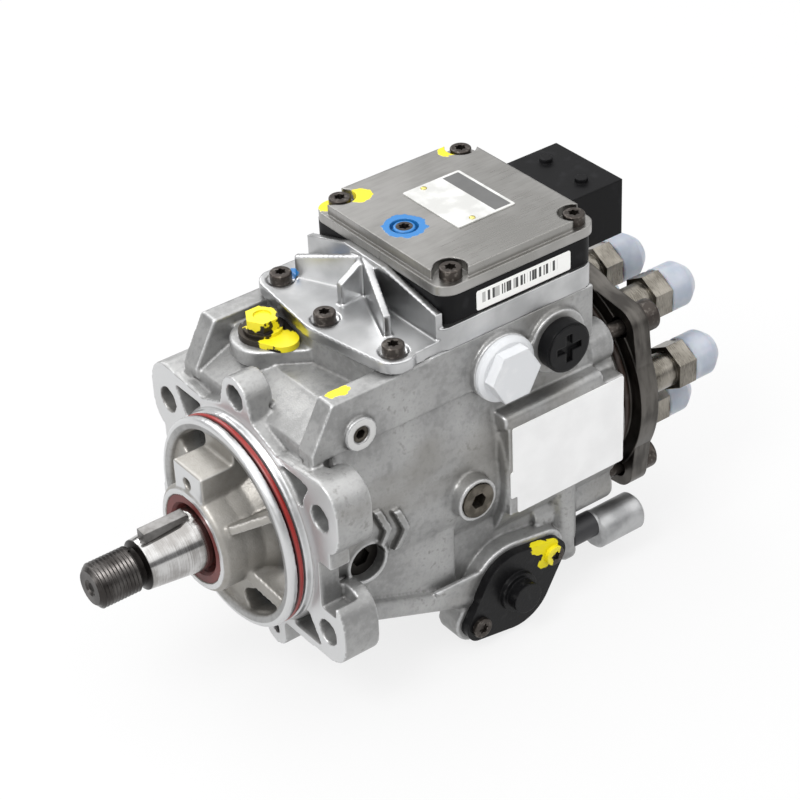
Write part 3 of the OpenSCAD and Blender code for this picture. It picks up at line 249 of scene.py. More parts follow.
def soften(node, name, voxel, rounds, most, cuts=(), body="pump"):
    """A node's mesh cut into small even faces and smoothed, so that its edges are rounded."""
    raw = bpy.data.meshes.new(name)
    form = merged_copy(node)
    form.to_mesh(raw)
    form.free()
    piece = bpy.data.objects.new(name, raw)
    bpy.context.scene.collection.objects.link(piece)
    for cut in cuts:
        piece.modifiers.new("cut", "BOOLEAN").object = cut
    grid = piece.modifiers.new("grid", "REMESH")
    grid.mode = "VOXEL"
    grid.voxel_size = voxel
    round_off = piece.modifiers.new("round_off", "SMOOTH")
    round_off.factor = 0.5
    round_off.iterations = rounds
    seen = piece.evaluated_get(bpy.context.evaluated_depsgraph_get())
    triangles = 2 * len(seen.data.polygons)
    if triangles > most:
        thin = piece.modifiers.new("thin", "DECIMATE")
        thin.ratio = most / triangles
    finished = piece.evaluated_get(bpy.context.evaluated_depsgraph_get())
    ready = bpy.data.meshes.new_from_object(finished)
    piece.modifiers.clear()
    piece.data = ready
    for cut in cuts:
        bpy.data.objects.remove(cut)
    for face in ready.polygons:
        face.use_smooth = True
    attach(piece, body)
    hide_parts(node)
    return piece


nose_hole_y, nose_hole_z, nose_hole_r = 0.0016, 0.0243, 0.0022
nose_hole_turns = [turn * math.pi / 12 for turn in range(24)]
nose_hole = prism([(nose_hole_y + nose_hole_r * math.cos(turn),
                    nose_hole_z + nose_hole_r * math.sin(turn)) for turn in nose_hole_turns],
                  -0.03, -0.018)
flange_gap = prism([(-0.027, 0.0375), (-0.0405, 0.0375), (-0.0395, 0.025), (-0.0357, 0.0268),
                    (-0.0316, 0.0316)], -0.001, 0.012)
casting = soften("pump_housing", "housing_casting", 0.0007, 3, 196000, (nose_hole, flange_gap))


def join(shader, socket, wire):
    """Leads a wire into one of a shader's sockets."""
    shader.id_data.links.new(wire.socket, shader.inputs[socket])


def dab(place, spots, ragged=0.0022, bare=None):
    """A mask that is 1 inside ragged round dabs of thick paint, apart from a bare spot."""
    shake = (place.noise(330, 4.0) - 0.5) * 2 * ragged
    mask = None
    for spot, reach in spots:
        one = (reach - (place.far_from(spot) + shake)).step(-0.0002, 0.0002)
        mask = one if mask is None else mask.sum("MAXIMUM", one)
    if bare:
        mask = mask * (place.far_from(bare[0]) - bare[1]).step(-0.0002, 0.0002)
    return mask


cast_alloy, cast_shader, cast_place = new_finish("cast_alloy")
cast_x = cast_place.part("X")
cast_y = cast_place.part("Y")
cast_z = cast_place.part("Z")
axis_r = (cast_y * cast_y + cast_z * cast_z).sum("SQRT")
facing = cast_place.node("ShaderNodeNewGeometry", output=1)
faces_front = (0 - facing.part("X")).step(0.8, 0.97)
faces_up = facing.part("Z").step(0.9, 0.99)
on_flange = (0.0006 - cast_x).step(-0.0002, 0.0002) * (cast_x + 0.0007).step(-0.0002, 0.0002)
flange_bright = faces_front * on_flange
pilot_bright = (axis_r - 0.0405).step(0, 0.0005) * (-0.0002 - cast_x).step(0, 0.0003)
hub_bright = faces_front * (-0.0225 - cast_x).step(0, 0.0005)
deck_bright = faces_up * (cast_z - 0.0652).step(0, 0.0004)
machined = (flange_bright + pilot_bright + hub_bright + deck_bright).sum("MINIMUM", 1.0)
blast = cast_place.noise(1500, 2.0)
clouds = cast_place.noise(38, 5.0)
stains = cast_place.noise(16, 3.0, (1, 1, 1.6))
specks = cast_place.noise(420, 4.0)
bend = cast_place.node("ShaderNodeNewGeometry", output=7)
worn_edge = bend.step(0.515, 0.56)
hollow_painted_shade = (1 - bend).step(0.505, 0.56)
skin_tone = (clouds * 0.7 + specks * 0.3).step(0.38, 0.64)
skin = skin_tone.blend((0.25, 0.25, 0.248), (0.40, 0.40, 0.397))
grime = specks.step(0.48, 0.78) * clouds.step(0.42, 0.66)
skin = (grime * 0.6).blend(skin, (0.13, 0.125, 0.115))
skin = (stains.step(0.52, 0.68) * 0.5).blend(skin, (0.20, 0.19, 0.17))
skin = (worn_edge * 0.6).blend(skin, (0.66, 0.665, 0.67))
# Painted shade: the hollows, found by the mesh's pointiness, are darkened to near black.
skin = (hollow_painted_shade * 0.75).blend(skin, (0.05, 0.048, 0.045))
in_nose = (0.0385 - axis_r).step(-0.0005, 0.001) * (-0.001 - cast_x).step(-0.001, 0.003)
nose_oil = in_nose * (1 - hub_bright)
skin = (nose_oil * 0.5).blend(skin, (0.31, 0.285, 0.245))
on_boss = (0.0072 - cast_place.far_from((0.0245, -0.0445, 0.049))).step(0, 0.0003)
boss_face = on_boss * (-0.9 - facing.part("Y")).step(-0.05, 0.05)
# Painted shadow: the chevrons' flanks that face the front are darkened.
on_arrows = (0.013 - cast_place.far_from((0.0345, -0.046, 0.005))).step(0, 0.001)
arrow_flank_painted_shadow = (0 - facing.part("X")).step(0.15, 0.5) * on_arrows
skin = (arrow_flank_painted_shadow * 0.85).blend(skin, (0.06, 0.058, 0.054))
skin = (boss_face * 0.7).blend(skin, (0.72, 0.72, 0.71))
skin = (machined * 0.85).blend(skin, (0.60, 0.605, 0.61))
yellow_paint = (0.70, 0.60, 0.01)
wall_dab = dab(cast_place, (((0.0195, -0.0355, 0.0655), 0.0030),
                            ((0.0228, -0.0362, 0.0655), 0.0028)), 0.0026)
join(cast_shader, "Base Color", wall_dab.blend(skin, yellow_paint))
join(cast_shader, "Metallic", 0.75 - wall_dab * 0.75)
join(cast_shader, "Roughness", 0.38 + blast * 0.12 - machined * 0.12 + grime * 0.1)
cast_relief = cast_place.node("ShaderNodeBump", {}, {
    "Strength": 0.35, "Distance": 0.00025, "Height": (blast + specks * 0.12) * (1 - machined)})
join(cast_shader, "Normal", cast_relief)
casting.data.materials.clear()
casting.data.materials.append(cast_alloy)


# Pilot seal and shaft seal. Fluorocarbon rubber: a bright red ring in the pilot's groove, and
# a maroon lip seal pressed into the hub, both a little dusty.
def wear(node, material):
    """Gives a node's own mesh a finish."""
    nodes[node].data.materials.clear()
    nodes[node].data.materials.append(material)


def rubber(name, colour, rough):
    """A finish of moulded rubber under a little dust."""
    material, shader, place = new_finish(name)
    dust = place.noise(260, 4.0).step(0.45, 0.75)
    join(shader, "Base Color", (dust * 0.35).blend(colour, tuple(0.4 * c + 0.12 for c in colour)))
    join(shader, "Roughness", rough + dust * 0.25)
    relief = place.node("ShaderNodeBump", {}, {
        "Strength": 0.25, "Distance": 0.0001, "Height": place.noise(1800, 2.0)})
    join(shader, "Normal", relief)
    return material


red_rubber, ring_shader, ring_place = new_finish("red_rubber")
ring_y = ring_place.part("Y")
ring_z = ring_place.part("Z")
ring_r = (ring_y * ring_y + ring_z * ring_z).sum("SQRT")
# Painted shade: the ring's sides down in its groove are near black, and only its crown shows the
# red.
ring_shade_to_crown = (ring_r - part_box("pilot_o_ring")[1][2]).step(-0.0006, -0.0001)
join(ring_shader, "Base Color", ring_shade_to_crown.blend((0.03, 0.003, 0.003), (0.24, 0.012, 0.009)))
ring_shader.inputs["Roughness"].default_value = 0.32
wear("pilot_o_ring", red_rubber)
wear("shaft_seal", rubber("seal_rubber", (0.105, 0.014, 0.012), 0.5))
wear("head_seal_ring", rubber("brown_rubber", (0.028, 0.015, 0.010), 0.5))


# Drive shaft. Hardened and ground steel: a threaded end for the gear's nut, an undercut, a
# 1:5 taper with the key, and a plain end in the hub. The thread is a helix of full depth.
def as_piece(name, form, body, *stands_for, smooth=True):
    """Puts a mesh into the scene as a piece that rides on a body."""
    mesh = bpy.data.meshes.new(name)
    form.to_mesh(mesh)
    form.free()
    for face in mesh.polygons:
        face.use_smooth = smooth
    piece = bpy.data.objects.new(name, mesh)
    bpy.context.scene.collection.objects.link(piece)
    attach(piece, body)
    if stands_for:
        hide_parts(*stands_for)
    return piece


def worked_metal(name, dark, light, rough, scale=500.0, stretch=(1, 1, 1), depth=0.35):
    """A finish of ground, plated or oiled bar stock, with marks from the tool."""
    material, shader, place = new_finish(name)
    marks = place.noise(scale, 3.0, stretch)
    clouds = place.noise(70, 4.0)
    join(shader, "Base Color", (marks * 0.3 + clouds * 0.7).step(0.36, 0.64).blend(dark, light))
    shader.inputs["Metallic"].default_value = 1.0
    join(shader, "Roughness", rough + (clouds - 0.5) * 0.25 + (marks - 0.5) * 0.12)
    soft_edge = place.node("ShaderNodeBevel", {"samples": 4}, {"Radius": 0.0004})
    relief = place.node("ShaderNodeBump", {}, {
        "Strength": depth, "Distance": 0.0001, "Height": marks, "Normal": soft_edge})
    join(shader, "Normal", relief)
    return material


thread_r = 0.009
thread_pitch = 0.0015
tip_x = -0.0694
thread_end = tip_x + 0.0175
undercut_end = thread_end + 0.003
taper_small_r = 0.01
thread_turns = 11
thread_form = bmesh.new()
ridge = []
for count in range(thread_turns):
    start_x = tip_x + 0.0006 + count * thread_pitch
    for along, depth in ((0.0, 0.0009), (0.45, 0.0), (0.6, 0.0), (0.95, 0.0009)):
        ridge.append(thread_form.verts.new((start_x + along * thread_pitch, 0, thread_r - depth)))
lines = [thread_form.edges.new((a, b)) for a, b in zip(ridge, ridge[1:])]
bmesh.ops.spin(thread_form, geom=ridge + lines, axis=(1, 0, 0), cent=(0, 0, 0),
               angle=2 * math.pi, dvec=(thread_pitch / 48, 0, 0), steps=48, use_merge=False)
bmesh.ops.remove_doubles(thread_form, verts=thread_form.verts, dist=2e-5)
bmesh.ops.recalc_face_normals(thread_form, faces=thread_form.faces)
thread_piece = as_piece("shaft_thread", thread_form, "shaft")

shaft_form = bmesh.new()
outline = [(tip_x + 0.0008, 0), (tip_x + 0.0008, 0.0026), (tip_x, 0.0034), (tip_x, 0.0068),
           (tip_x + 0.0014, 0.0082), (thread_end, 0.0082), (thread_end + 0.0006, 0.0078),
           (undercut_end - 0.0006, 0.0078), (undercut_end, 0.0088),
           (undercut_end + 0.0005, taper_small_r), (undercut_end + 0.001, taper_small_r),
           (undercut_end + 0.001, 0)]
rim = [shaft_form.verts.new((x, 0, r)) for x, r in outline]
rim_lines = [shaft_form.edges.new((a, b)) for a, b in zip(rim, rim[1:])]
bmesh.ops.spin(shaft_form, geom=rim + rim_lines, axis=(1, 0, 0), cent=(0, 0, 0),
               angle=2 * math.pi, steps=96, use_merge=True)
bmesh.ops.remove_doubles(shaft_form, verts=shaft_form.verts, dist=1e-6)
bmesh.ops.recalc_face_normals(shaft_form, faces=shaft_form.faces)
ground_steel, ground_shader, ground_place = new_finish("ground_steel")
ground_x = ground_place.part("X")
rings = ground_place.noise(60, 2.0, (60, 1, 1))
blotch = ground_place.noise(110, 5.0)
on_taper = (ground_x - thread_end - 0.001).step(-0.0004, 0.0004)
past_thread = (ground_x - thread_end).step(-0.0004, 0.0002)
# Painted shade: the undercut groove and the centre hole in the tip are coloured near black.
in_groove = past_thread * (undercut_end + 0.0006 - ground_x).step(-0.0002, 0.0002)
centre_hole = (0.0022 - ground_place.far_from((tip_x, 0, 0))).step(0, 0.0004)
recess_painted_shade = in_groove.sum("MAXIMUM", centre_hole)
straw = (blotch * 0.7 + rings * 0.3).step(0.4, 0.66)
bright = straw.blend((0.30, 0.29, 0.28), (0.56, 0.555, 0.55))
# The thread is dull steel, coloured darker still as painted shade of its grooves.
dull_and_groove_shade = straw.blend((0.045, 0.041, 0.039), (0.11, 0.104, 0.10))
ground_skin = on_taper.blend(dull_and_groove_shade, bright)
join(ground_shader, "Base Color", recess_painted_shade.blend(ground_skin, (0.02, 0.018, 0.017)))
ground_shader.inputs["Metallic"].default_value = 1.0
join(ground_shader, "Roughness", 0.34 - on_taper * 0.2 + recess_painted_shade * 0.2
     + (rings - 0.5) * 0.1 + (blotch - 0.5) * 0.12)
ground_relief = ground_place.node("ShaderNodeBump", {}, {
    "Strength": 0.25, "Distance": 0.00008, "Height": rings})
join(ground_shader, "Normal", ground_relief)
nose_piece = as_piece("shaft_nose", shaft_form, "shaft")
body_form = merged_copy("drive_shaft")
whole_shaft = body_form.verts[:] + body_form.edges[:] + body_form.faces[:]
cut = bmesh.ops.bisect_plane(body_form, geom=whole_shaft, clear_inner=True,
                             plane_co=(undercut_end + 0.0008, 0, 0), plane_no=(1, 0, 0))
cut_lines = [part for part in cut["geom_cut"] if isinstance(part, bmesh.types.BMEdge)]
bmesh.ops.holes_fill(body_form, edges=cut_lines)
body_piece = as_piece("shaft_body", body_form, "shaft", "drive_shaft")
sharp_from = 0.6
body_piece.data.set_sharp_from_angle(angle=sharp_from)
nose_piece.data.set_sharp_from_angle(angle=sharp_from)
for piece in (thread_piece, nose_piece, body_piece):
    piece.data.materials.append(ground_steel)
wear("shaft_key", worked_metal("key_steel", (0.12, 0.115, 0.11), (0.24, 0.235, 0.23), 0.38))


# Screws with star sockets. Class 10.9 steel, black oxide with a brown cast, heads knurled
# smooth by the driver. One form serves the lid, the base, the cover and the head.
def solid_boxes(node):
    """The box of each separate solid in a node."""
    form = merged_copy(node)
    left = set(form.verts)
    boxes = []
    while left:
        group = [left.pop()]
        points = []
        while group:
            corner = group.pop()
            points.append(corner.co.copy())
            for line in corner.link_edges:
                other = line.other_vert(corner)
                if other in left:
                    left.remove(other)
                    group.append(other)
        boxes.append((Vector(min(p[i] for p in points) for i in range(3)),
                      Vector(max(p[i] for p in points) for i in range(3))))
    form.free()
    return boxes


def star_screw(form, seat, out, head_r, head_h, socket_r, shank_r, shank_l):
    """A pan head with a six-lobed socket, seated at a place and facing out of it."""
    start = set(form.verts)
    made = bmesh.ops.create_circle(form, cap_ends=True, segments=48, radius=head_r)
    top = made["verts"][0].link_faces[0]
    bmesh.ops.translate(form, verts=made["verts"], vec=(0, 0, head_h))
    raised = bmesh.ops.extrude_face_region(form, geom=[top])
    face = [part for part in raised["geom"] if isinstance(part, bmesh.types.BMFace)][0]
    bmesh.ops.translate(form, verts=made["verts"], vec=(0, 0, -head_h))
    rim_edges = list(face.edges)
    rounding = head_h * 0.16
    bmesh.ops.bevel(form, geom=rim_edges, offset=rounding, segments=3, profile=0.5,
                    affect="EDGES", material=-1)
    fresh = (f for f in form.faces if all(v not in start for v in f.verts))
    face = max(fresh, key=lambda f: len(f.verts) * 10 + f.calc_center_median().z)
    bmesh.ops.inset_individual(form, faces=[face], thickness=(head_r - rounding - socket_r) * 0.999)
    for corner in face.verts:
        turn = math.atan2(corner.co.y, corner.co.x)
        reach = socket_r * (0.88 + 0.14 * math.cos(6 * turn))
        corner.co.x = reach * math.cos(turn)
        corner.co.y = reach * math.sin(turn)
    sunk = bmesh.ops.extrude_face_region(form, geom=[face])
    bmesh.ops.delete(form, geom=[face], context="FACES_ONLY")
    floor_ring = [part for part in sunk["geom"] if isinstance(part, bmesh.types.BMVert)]
    bmesh.ops.translate(form, verts=floor_ring, vec=(0, 0, -head_h * 0.6))
    shank = bmesh.ops.create_cone(form, cap_ends=True, segments=24, radius1=shank_r,
                                  radius2=shank_r, depth=shank_l)
    bmesh.ops.translate(form, verts=shank["verts"], vec=(0, 0, -shank_l / 2))
    turn = Vector((0, 0, 1)).rotation_difference(out).to_matrix().to_4x4()
    fresh = [corner for corner in form.verts if corner not in start]
    bmesh.ops.transform(form, matrix=Matrix.Translation(seat) @ turn, verts=fresh)


def screw_set(node, name, out, head_h, finish):
    """One piece that stands for all the screws of a node."""
    form = bmesh.new()
    side = max(range(3), key=lambda i: abs(out[i]))
    across = [i for i in range(3) if i != side]
    for low, high in solid_boxes(node):
        head_r = (high[across[0]] - low[across[0]]) / 2
        seat = (low + high) / 2
        seat[side] = (high[side] - head_h) if out[side] > 0 else (low[side] + head_h)
        depth = (high[side] - low[side]) - head_h
        star_screw(form, seat, Vector(out), head_r, head_h, head_r * 0.52, head_r * 0.5, depth)
    bmesh.ops.recalc_face_normals(form, faces=form.faces)
    piece = as_piece(name, form, "pump", node, smooth=False)
    piece.data.materials.append(finish)


blue_paint = (0.015, 0.15, 0.40)


def screw_finish(name, yellow=(), blue=(), bare=None):
    """Black oxide, rubbed by the driver, with dabs of paint."""
    material, shader, place = new_finish(name)
    rub = place.noise(600, 3.0).step(0.5, 0.75)
    colour = (rub * 0.6).blend((0.055, 0.047, 0.042), (0.22, 0.20, 0.18))
    rough = 0.36 + rub * 0.12
    metal = None
    for spots, paint in ((yellow, yellow_paint), (blue, blue_paint)):
        if spots:
            mask = dab(place, spots, bare=bare)
            colour = mask.blend(colour, paint)
            metal = mask if metal is None else metal.sum("MAXIMUM", mask)
    join(shader, "Base Color", colour)
    if metal is None:
        shader.inputs["Metallic"].default_value = 0.9
    else:
        join(shader, "Metallic", 0.9 - metal * 0.9)
    join(shader, "Roughness", rough)
    soft_edge = place.node("ShaderNodeBevel", {"samples": 4}, {"Radius": 0.0003})
    relief = place.node("ShaderNodeBump", {}, {
        "Strength": 0.3, "Distance": 0.0001, "Height": rub, "Normal": soft_edge})
    join(shader, "Normal", relief)
    return material


up = (0, 0, 1)
lid_low, lid_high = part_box("control_lid")
lid_top = lid_high[2]
mark_at = (lid_low[0] + 0.014, 0.0, lid_top)
lid_blue = ((mark_at, 0.0085),)
cover_yellow = (((0.1015, -0.0525, -0.036), 0.0045), ((0.1065, -0.0525, -0.0395), 0.004),
                ((0.1035, -0.053, -0.045), 0.0035))
screw_set("lid_screws", "lid_star_screws", up, 0.004,
          screw_finish("lid_screw_steel", (), lid_blue, (mark_at, 0.0033)))
screw_set("base_screws", "base_star_screws", up, 0.004, screw_finish("base_screw_steel"))
screw_set("timing_cover_screws", "cover_star_screws", (0, -1, 0), 0.0018,
          screw_finish("cover_screw_steel", cover_yellow))
screw_set("head_screws", "head_star_screws", (1, 0, 0), 0.008, screw_finish("head_screw_steel"))

# Lock bolt and its spacer. The bolt clamps the shaft for shipping once the open spacer is
# taken away, and both are marked with thick yellow paint.
lock_finish, lock_shader, lock_place = new_finish("lock_steel")
lock_low, lock_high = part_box("lock_bolt")
lock_x = (lock_low[0] + lock_high[0]) / 2
lock_y = (lock_low[1] + lock_high[1]) / 2
spacer_top = 0.0625
lock_mask = dab(lock_place, (((lock_x - 0.0018, lock_y + 0.0006, lock_high[2] + 0.0008), 0.0068),
                             ((lock_x + 0.002, lock_y - 0.012, spacer_top), 0.0065),
                             ((lock_x - 0.005, lock_y - 0.009, spacer_top), 0.003)), 0.003)
join(lock_shader, "Base Color", lock_mask.blend((0.05, 0.043, 0.036), yellow_paint))
join(lock_shader, "Metallic", 0.9 - lock_mask * 0.9)
join(lock_shader, "Roughness", 0.34 + lock_place.noise(300) * 0.15)
join(lock_shader, "Normal", lock_place.node("ShaderNodeBevel", {"samples": 4}, {"Radius": 0.0004}))
wear("lock_bolt", lock_finish)
wear("lock_washer", lock_finish)

# Control unit's base. A bright aluminium die casting with a thin satin skin, three lugs and a
# fan of ribs, whose edges are rounded by the die.
base_piece = soften("control_base", "base_casting", 0.0005, 3, 190000)
die_cast, die_shader, die_place = new_finish("die_cast")
die_clouds = die_place.noise(45, 4.0)
die_bend = die_place.node("ShaderNodeNewGeometry", output=7)
die_skin = die_clouds.step(0.35, 0.65).blend((0.38, 0.383, 0.386), (0.54, 0.543, 0.546))
# Painted shade: the die casting's hollows, found by the mesh's pointiness, are darkened.
die_skin = ((1 - die_bend).step(0.505, 0.56) * 0.6).blend(die_skin, (0.22, 0.22, 0.22))
die_mask = dab(die_place, (((0.0505, 0.0335, 0.073), 0.0042), ((0.0535, 0.0365, 0.075), 0.003)))
join(die_shader, "Base Color", die_mask.blend(die_skin, blue_paint))
join(die_shader, "Metallic", 1.0 - die_mask)
join(die_shader, "Roughness", 0.24 + die_clouds * 0.14)
join(die_shader, "Normal", die_place.node("ShaderNodeBump", {}, {
    "Strength": 0.15, "Distance": 0.0002, "Height": die_place.noise(500, 3.0)}))
base_piece.data.materials.clear()
base_piece.data.materials.append(die_cast)


# Frame and connector block. Black glass-filled nylon, one moulding, with a fine spark-eroded
# skin that shows grey scuffs at its edges.
def moulded(name, dark, light, rough, edge, gloss):
    """A finish of moulded plastic with scuffs and softened edges."""
    material, shader, place = new_finish(name)
    shader.inputs["Specular IOR Level"].default_value = gloss
    scuff = place.noise(160, 5.0).step(0.55, 0.75)
    join(shader, "Base Color", (scuff * 0.5).blend(dark, light))
    join(shader, "Roughness", rough + scuff * 0.15)
    soft_edge = place.node("ShaderNodeBevel", {"samples": 4}, {"Radius": edge})
    relief = place.node("ShaderNodeBump", {}, {
        "Strength": 0.3, "Distance": 0.0001, "Height": place.noise(1600, 2.0), "Normal": soft_edge})
    join(shader, "Normal", relief)
    return material


black_nylon = moulded("black_nylon", (0.004, 0.004, 0.0045), (0.022, 0.022, 0.024),
                      0.5, 0.0012, 0.12)
wear("control_frame", black_nylon)
wear("angle_sensor", black_nylon)


# Label on the frame. White matt foil, stuck on the frame's near side, with a row of plain
# dark bars that stand for nothing.
def flat_plate(name, outline, out, thick, body="pump"):
    """A thin plate that lies on a flat face, with its corners rounded."""
    form = bmesh.new()
    corners = [form.verts.new(point) for point in outline]
    face = form.faces.new(corners)
    face.normal_update()
    if face.normal.dot(Vector(out)) < 0:
        face.normal_flip()
    raised = bmesh.ops.extrude_face_region(form, geom=[face])
    top = [part for part in raised["geom"] if isinstance(part, bmesh.types.BMVert)]
    bmesh.ops.translate(form, verts=top, vec=Vector(out) * thick)
    upright = [line for line in form.edges
               if abs((line.verts[0].co - line.verts[1].co).normalized().dot(Vector(out))) > 0.99]
    bmesh.ops.bevel(form, geom=upright, offset=0.0009, segments=4, profile=0.5,
                    affect="EDGES", material=-1)
    bmesh.ops.recalc_face_normals(form, faces=form.faces)
    return as_piece(name, form, body, smooth=False)


frame_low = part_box("control_frame")[0]
label_x = (0.0815, 0.1265)
label_z = (0.0763, 0.0845)
frame_label = flat_plate("frame_label", [
    (label_x[0], frame_low[1], label_z[0]), (label_x[1], frame_low[1], label_z[0]),
    (label_x[1], frame_low[1], label_z[1]), (label_x[0], frame_low[1], label_z[1])],
    (0, -1, 0), 0.00025)
foil, foil_shader, foil_place = new_finish("label_foil")
foil_x = foil_place.part("X")
foil_z = foil_place.part("Z")
across = (foil_x - label_x[0]).step(0.0025, 0.0026) * (label_x[1] - foil_x).step(0.006, 0.0061)
upward = (foil_z - label_z[0]).step(0.0026, 0.0027) * (label_z[1] - foil_z).step(0.0012, 0.0013)
in_bars = across * upward
along_bars = foil_place.node("ShaderNodeCombineXYZ", {}, {0: foil_x})
bars = along_bars.noise(900, 0.0).step(0.497, 0.503) * in_bars
join(foil_shader, "Base Color", bars.blend((0.82, 0.82, 0.80), (0.03, 0.03, 0.03)))
foil_shader.inputs["Roughness"].default_value = 0.45
frame_label.data.materials.append(foil)

# Lid. A pressed and brushed aluminium cover with a raised panel. It is stained by handling,
# and carries a riveted plate that is left bare.
lid_metal, lid_shader, lid_place = new_finish("lid_metal")
brush = lid_place.noise(120, 2.0, (1.0, 9.0, 1.0))
stain = lid_place.noise(24, 5.0)
lid_tone = (stain * 0.8 + brush * 0.2).step(0.36, 0.64)
lid_skin = lid_tone.blend((0.28, 0.275, 0.262), (0.39, 0.382, 0.37))
lid_front_x = lid_low[0] + 0.009
lid_back_x = lid_high[0] - 0.007
screw_y = 0.034
lid_mask_yellow = dab(lid_place, (
    ((lid_front_x - 0.003, screw_y + 0.0045, lid_top - 0.003), 0.0055),
    ((lid_front_x + 0.006, screw_y - 0.004, lid_top), 0.0052),
    ((lid_back_x - 0.005, screw_y + 0.001, lid_top), 0.0048)))
lid_mask_blue = dab(lid_place, lid_blue)
lid_colour = lid_mask_blue.blend(lid_mask_yellow.blend(lid_skin, yellow_paint), blue_paint)
lid_painted = lid_mask_yellow.sum("MAXIMUM", lid_mask_blue)
join(lid_shader, "Base Color", lid_colour)
join(lid_shader, "Metallic", 1.0 - lid_painted)
join(lid_shader, "Roughness", 0.3 + (brush - 0.5) * 0.1 + (stain - 0.5) * 0.2)
lid_edge = lid_place.node("ShaderNodeBevel", {"samples": 4}, {"Radius": 0.0008})
join(lid_shader, "Normal", lid_place.node("ShaderNodeBump", {}, {
    "Strength": 0.2, "Distance": 0.0001, "Height": brush * 0.15 + lid_painted * 1.5,
    "Normal": lid_edge}))
wear("control_lid", lid_metal)
plate_x = (0.094, 0.1215)
plate_y = (-0.015, 0.0195)
lid_plate = flat_plate("lid_plate", [
    (plate_x[0], plate_y[0], lid_top), (plate_x[1], plate_y[0], lid_top),
    (plate_x[1], plate_y[1], lid_top), (plate_x[0], plate_y[1], lid_top)], (0, 0, 1), 0.0005)
etched, etched_shader, etched_place = new_finish("etched_plate")
etched_x = etched_place.part("X")
etched_y = etched_place.part("Y")
panel_low_x = 0.1125
margin = 0.0012
panel = (etched_x - panel_low_x).step(0, 0.0001) * (plate_x[1] - margin - etched_x).step(0, 0.0001)
panel = panel * (etched_y - plate_y[0] - margin).step(0, 0.0001)
panel = panel * (plate_y[1] - margin - etched_y).step(0, 0.0001)
etched_clouds = etched_place.noise(120, 4.0)
plate_skin = etched_clouds.step(0.35, 0.65).blend((0.54, 0.54, 0.525), (0.68, 0.68, 0.665))
join(etched_shader, "Base Color", (panel * 0.9).blend(plate_skin, (0.08, 0.08, 0.08)))
etched_shader.inputs["Metallic"].default_value = 0.55
join(etched_shader, "Roughness", 0.4 + etched_clouds * 0.1)
lid_plate.data.materials.append(etched)
rivets = bmesh.new()
for rivet_x, rivet_y in ((0.1025, -0.0125), (0.1025, 0.017)):
    made = bmesh.ops.create_uvsphere(rivets, u_segments=20, v_segments=10, radius=0.0013)
    bmesh.ops.scale(rivets, verts=made["verts"], vec=(1, 1, 0.45))
    bmesh.ops.translate(rivets, verts=made["verts"], vec=(rivet_x, rivet_y, lid_top + 0.0005))
rivet_piece = as_piece("plate_rivets", rivets, "pump")
brass = worked_metal("brass_rivet", (0.42, 0.36, 0.10), (0.62, 0.55, 0.2), 0.35)
rivet_piece.data.materials.append(brass)

# Label plate on the side. A white anodised plate glued on the flat beside the rear drum, left
# bare, with a small tab at its front edge.
side_y = -0.05
side_outline = [(0.0895, 0.0247), (0.1455, 0.0247), (0.1455, -0.0155), (0.0915, -0.0155),
                (0.0915, -0.0075), (0.0882, -0.0075), (0.0882, 0.0045), (0.0895, 0.0045)]
side_label = flat_plate("side_label", [(x, side_y, z) for x, z in side_outline],
                        (0, -1, 0), 0.0004)
white_plate, white_shader, white_place = new_finish("white_plate")
white_clouds = white_place.noise(60, 5.0)
white_skin = white_clouds.step(0.3, 0.7).blend((0.74, 0.74, 0.74), (0.80, 0.80, 0.80))
join(white_shader, "Base Color", white_skin)
join(white_shader, "Roughness", 0.42 + white_clouds * 0.15)
white_shader.inputs["Metallic"].default_value = 0.15
side_label.data.materials.append(white_plate)

# Transport caps. White and black polyethylene, moulded and pushed over the two fuel
# connections. The fuel lines replace them when the pump is fitted.
wear("inlet_cap", moulded("white_polyethylene", (0.60, 0.61, 0.625), (0.70, 0.70, 0.71),
                          0.38, 0.0009, 0.4))
wear("return_cap", moulded("black_polyethylene", (0.004, 0.004, 0.0045), (0.018, 0.018, 0.018),
                           0.35, 0.0008, 0.15))

# Timing device. A black coated cover with a plain boss, held by two screws, and the turned
# can of its solenoid behind, on a short black neck.
cover_metal, cover_shader, cover_place = new_finish("cover_coating")
cover_rub = cover_place.noise(240, 5.0).step(0.55, 0.72)
cover_mask = dab(cover_place, cover_yellow)
cover_skin = (cover_rub * 0.5).blend((0.005, 0.005, 0.0055), (0.028, 0.028, 0.028))
cover_shader.inputs["Specular IOR Level"].default_value = 0.16
join(cover_shader, "Base Color", cover_mask.blend(cover_skin, yellow_paint))
join(cover_shader, "Roughness", 0.32 + cover_rub * 0.2)
cover_edge = cover_place.node("ShaderNodeBevel", {"samples": 4}, {"Radius": 0.0007})
join(cover_shader, "Normal", cover_place.node("ShaderNodeBump", {}, {
    "Strength": 0.3, "Distance": 0.0002, "Height": cover_place.noise(900, 2.0),
    "Normal": cover_edge}))
wear("timing_cover", cover_metal)
can_metal, can_shader, can_place = new_finish("can_metal")
can_x = can_place.part("X")
can_start = 0.1378
neck = (can_start - can_x).step(0, 0.0002)
can_clouds = can_place.noise(90, 4.0)
can_skin = can_clouds.step(0.35, 0.65).blend((0.28, 0.283, 0.286), (0.45, 0.453, 0.456))
join(can_shader, "Base Color", neck.blend(can_skin, (0.02, 0.02, 0.022)))
join(can_shader, "Metallic", 0.9 - neck * 0.8)
join(can_shader, "Roughness", 0.38 + can_clouds * 0.12)
can_edge = can_place.node("ShaderNodeBevel", {"samples": 4}, {"Radius": 0.0012})
join(can_shader, "Normal", can_place.node("ShaderNodeBump", {}, {
    "Strength": 0.2, "Distance": 0.0002, "Height": can_place.noise(800, 3.0), "Normal": can_edge}))
wear("timing_solenoid", can_metal)

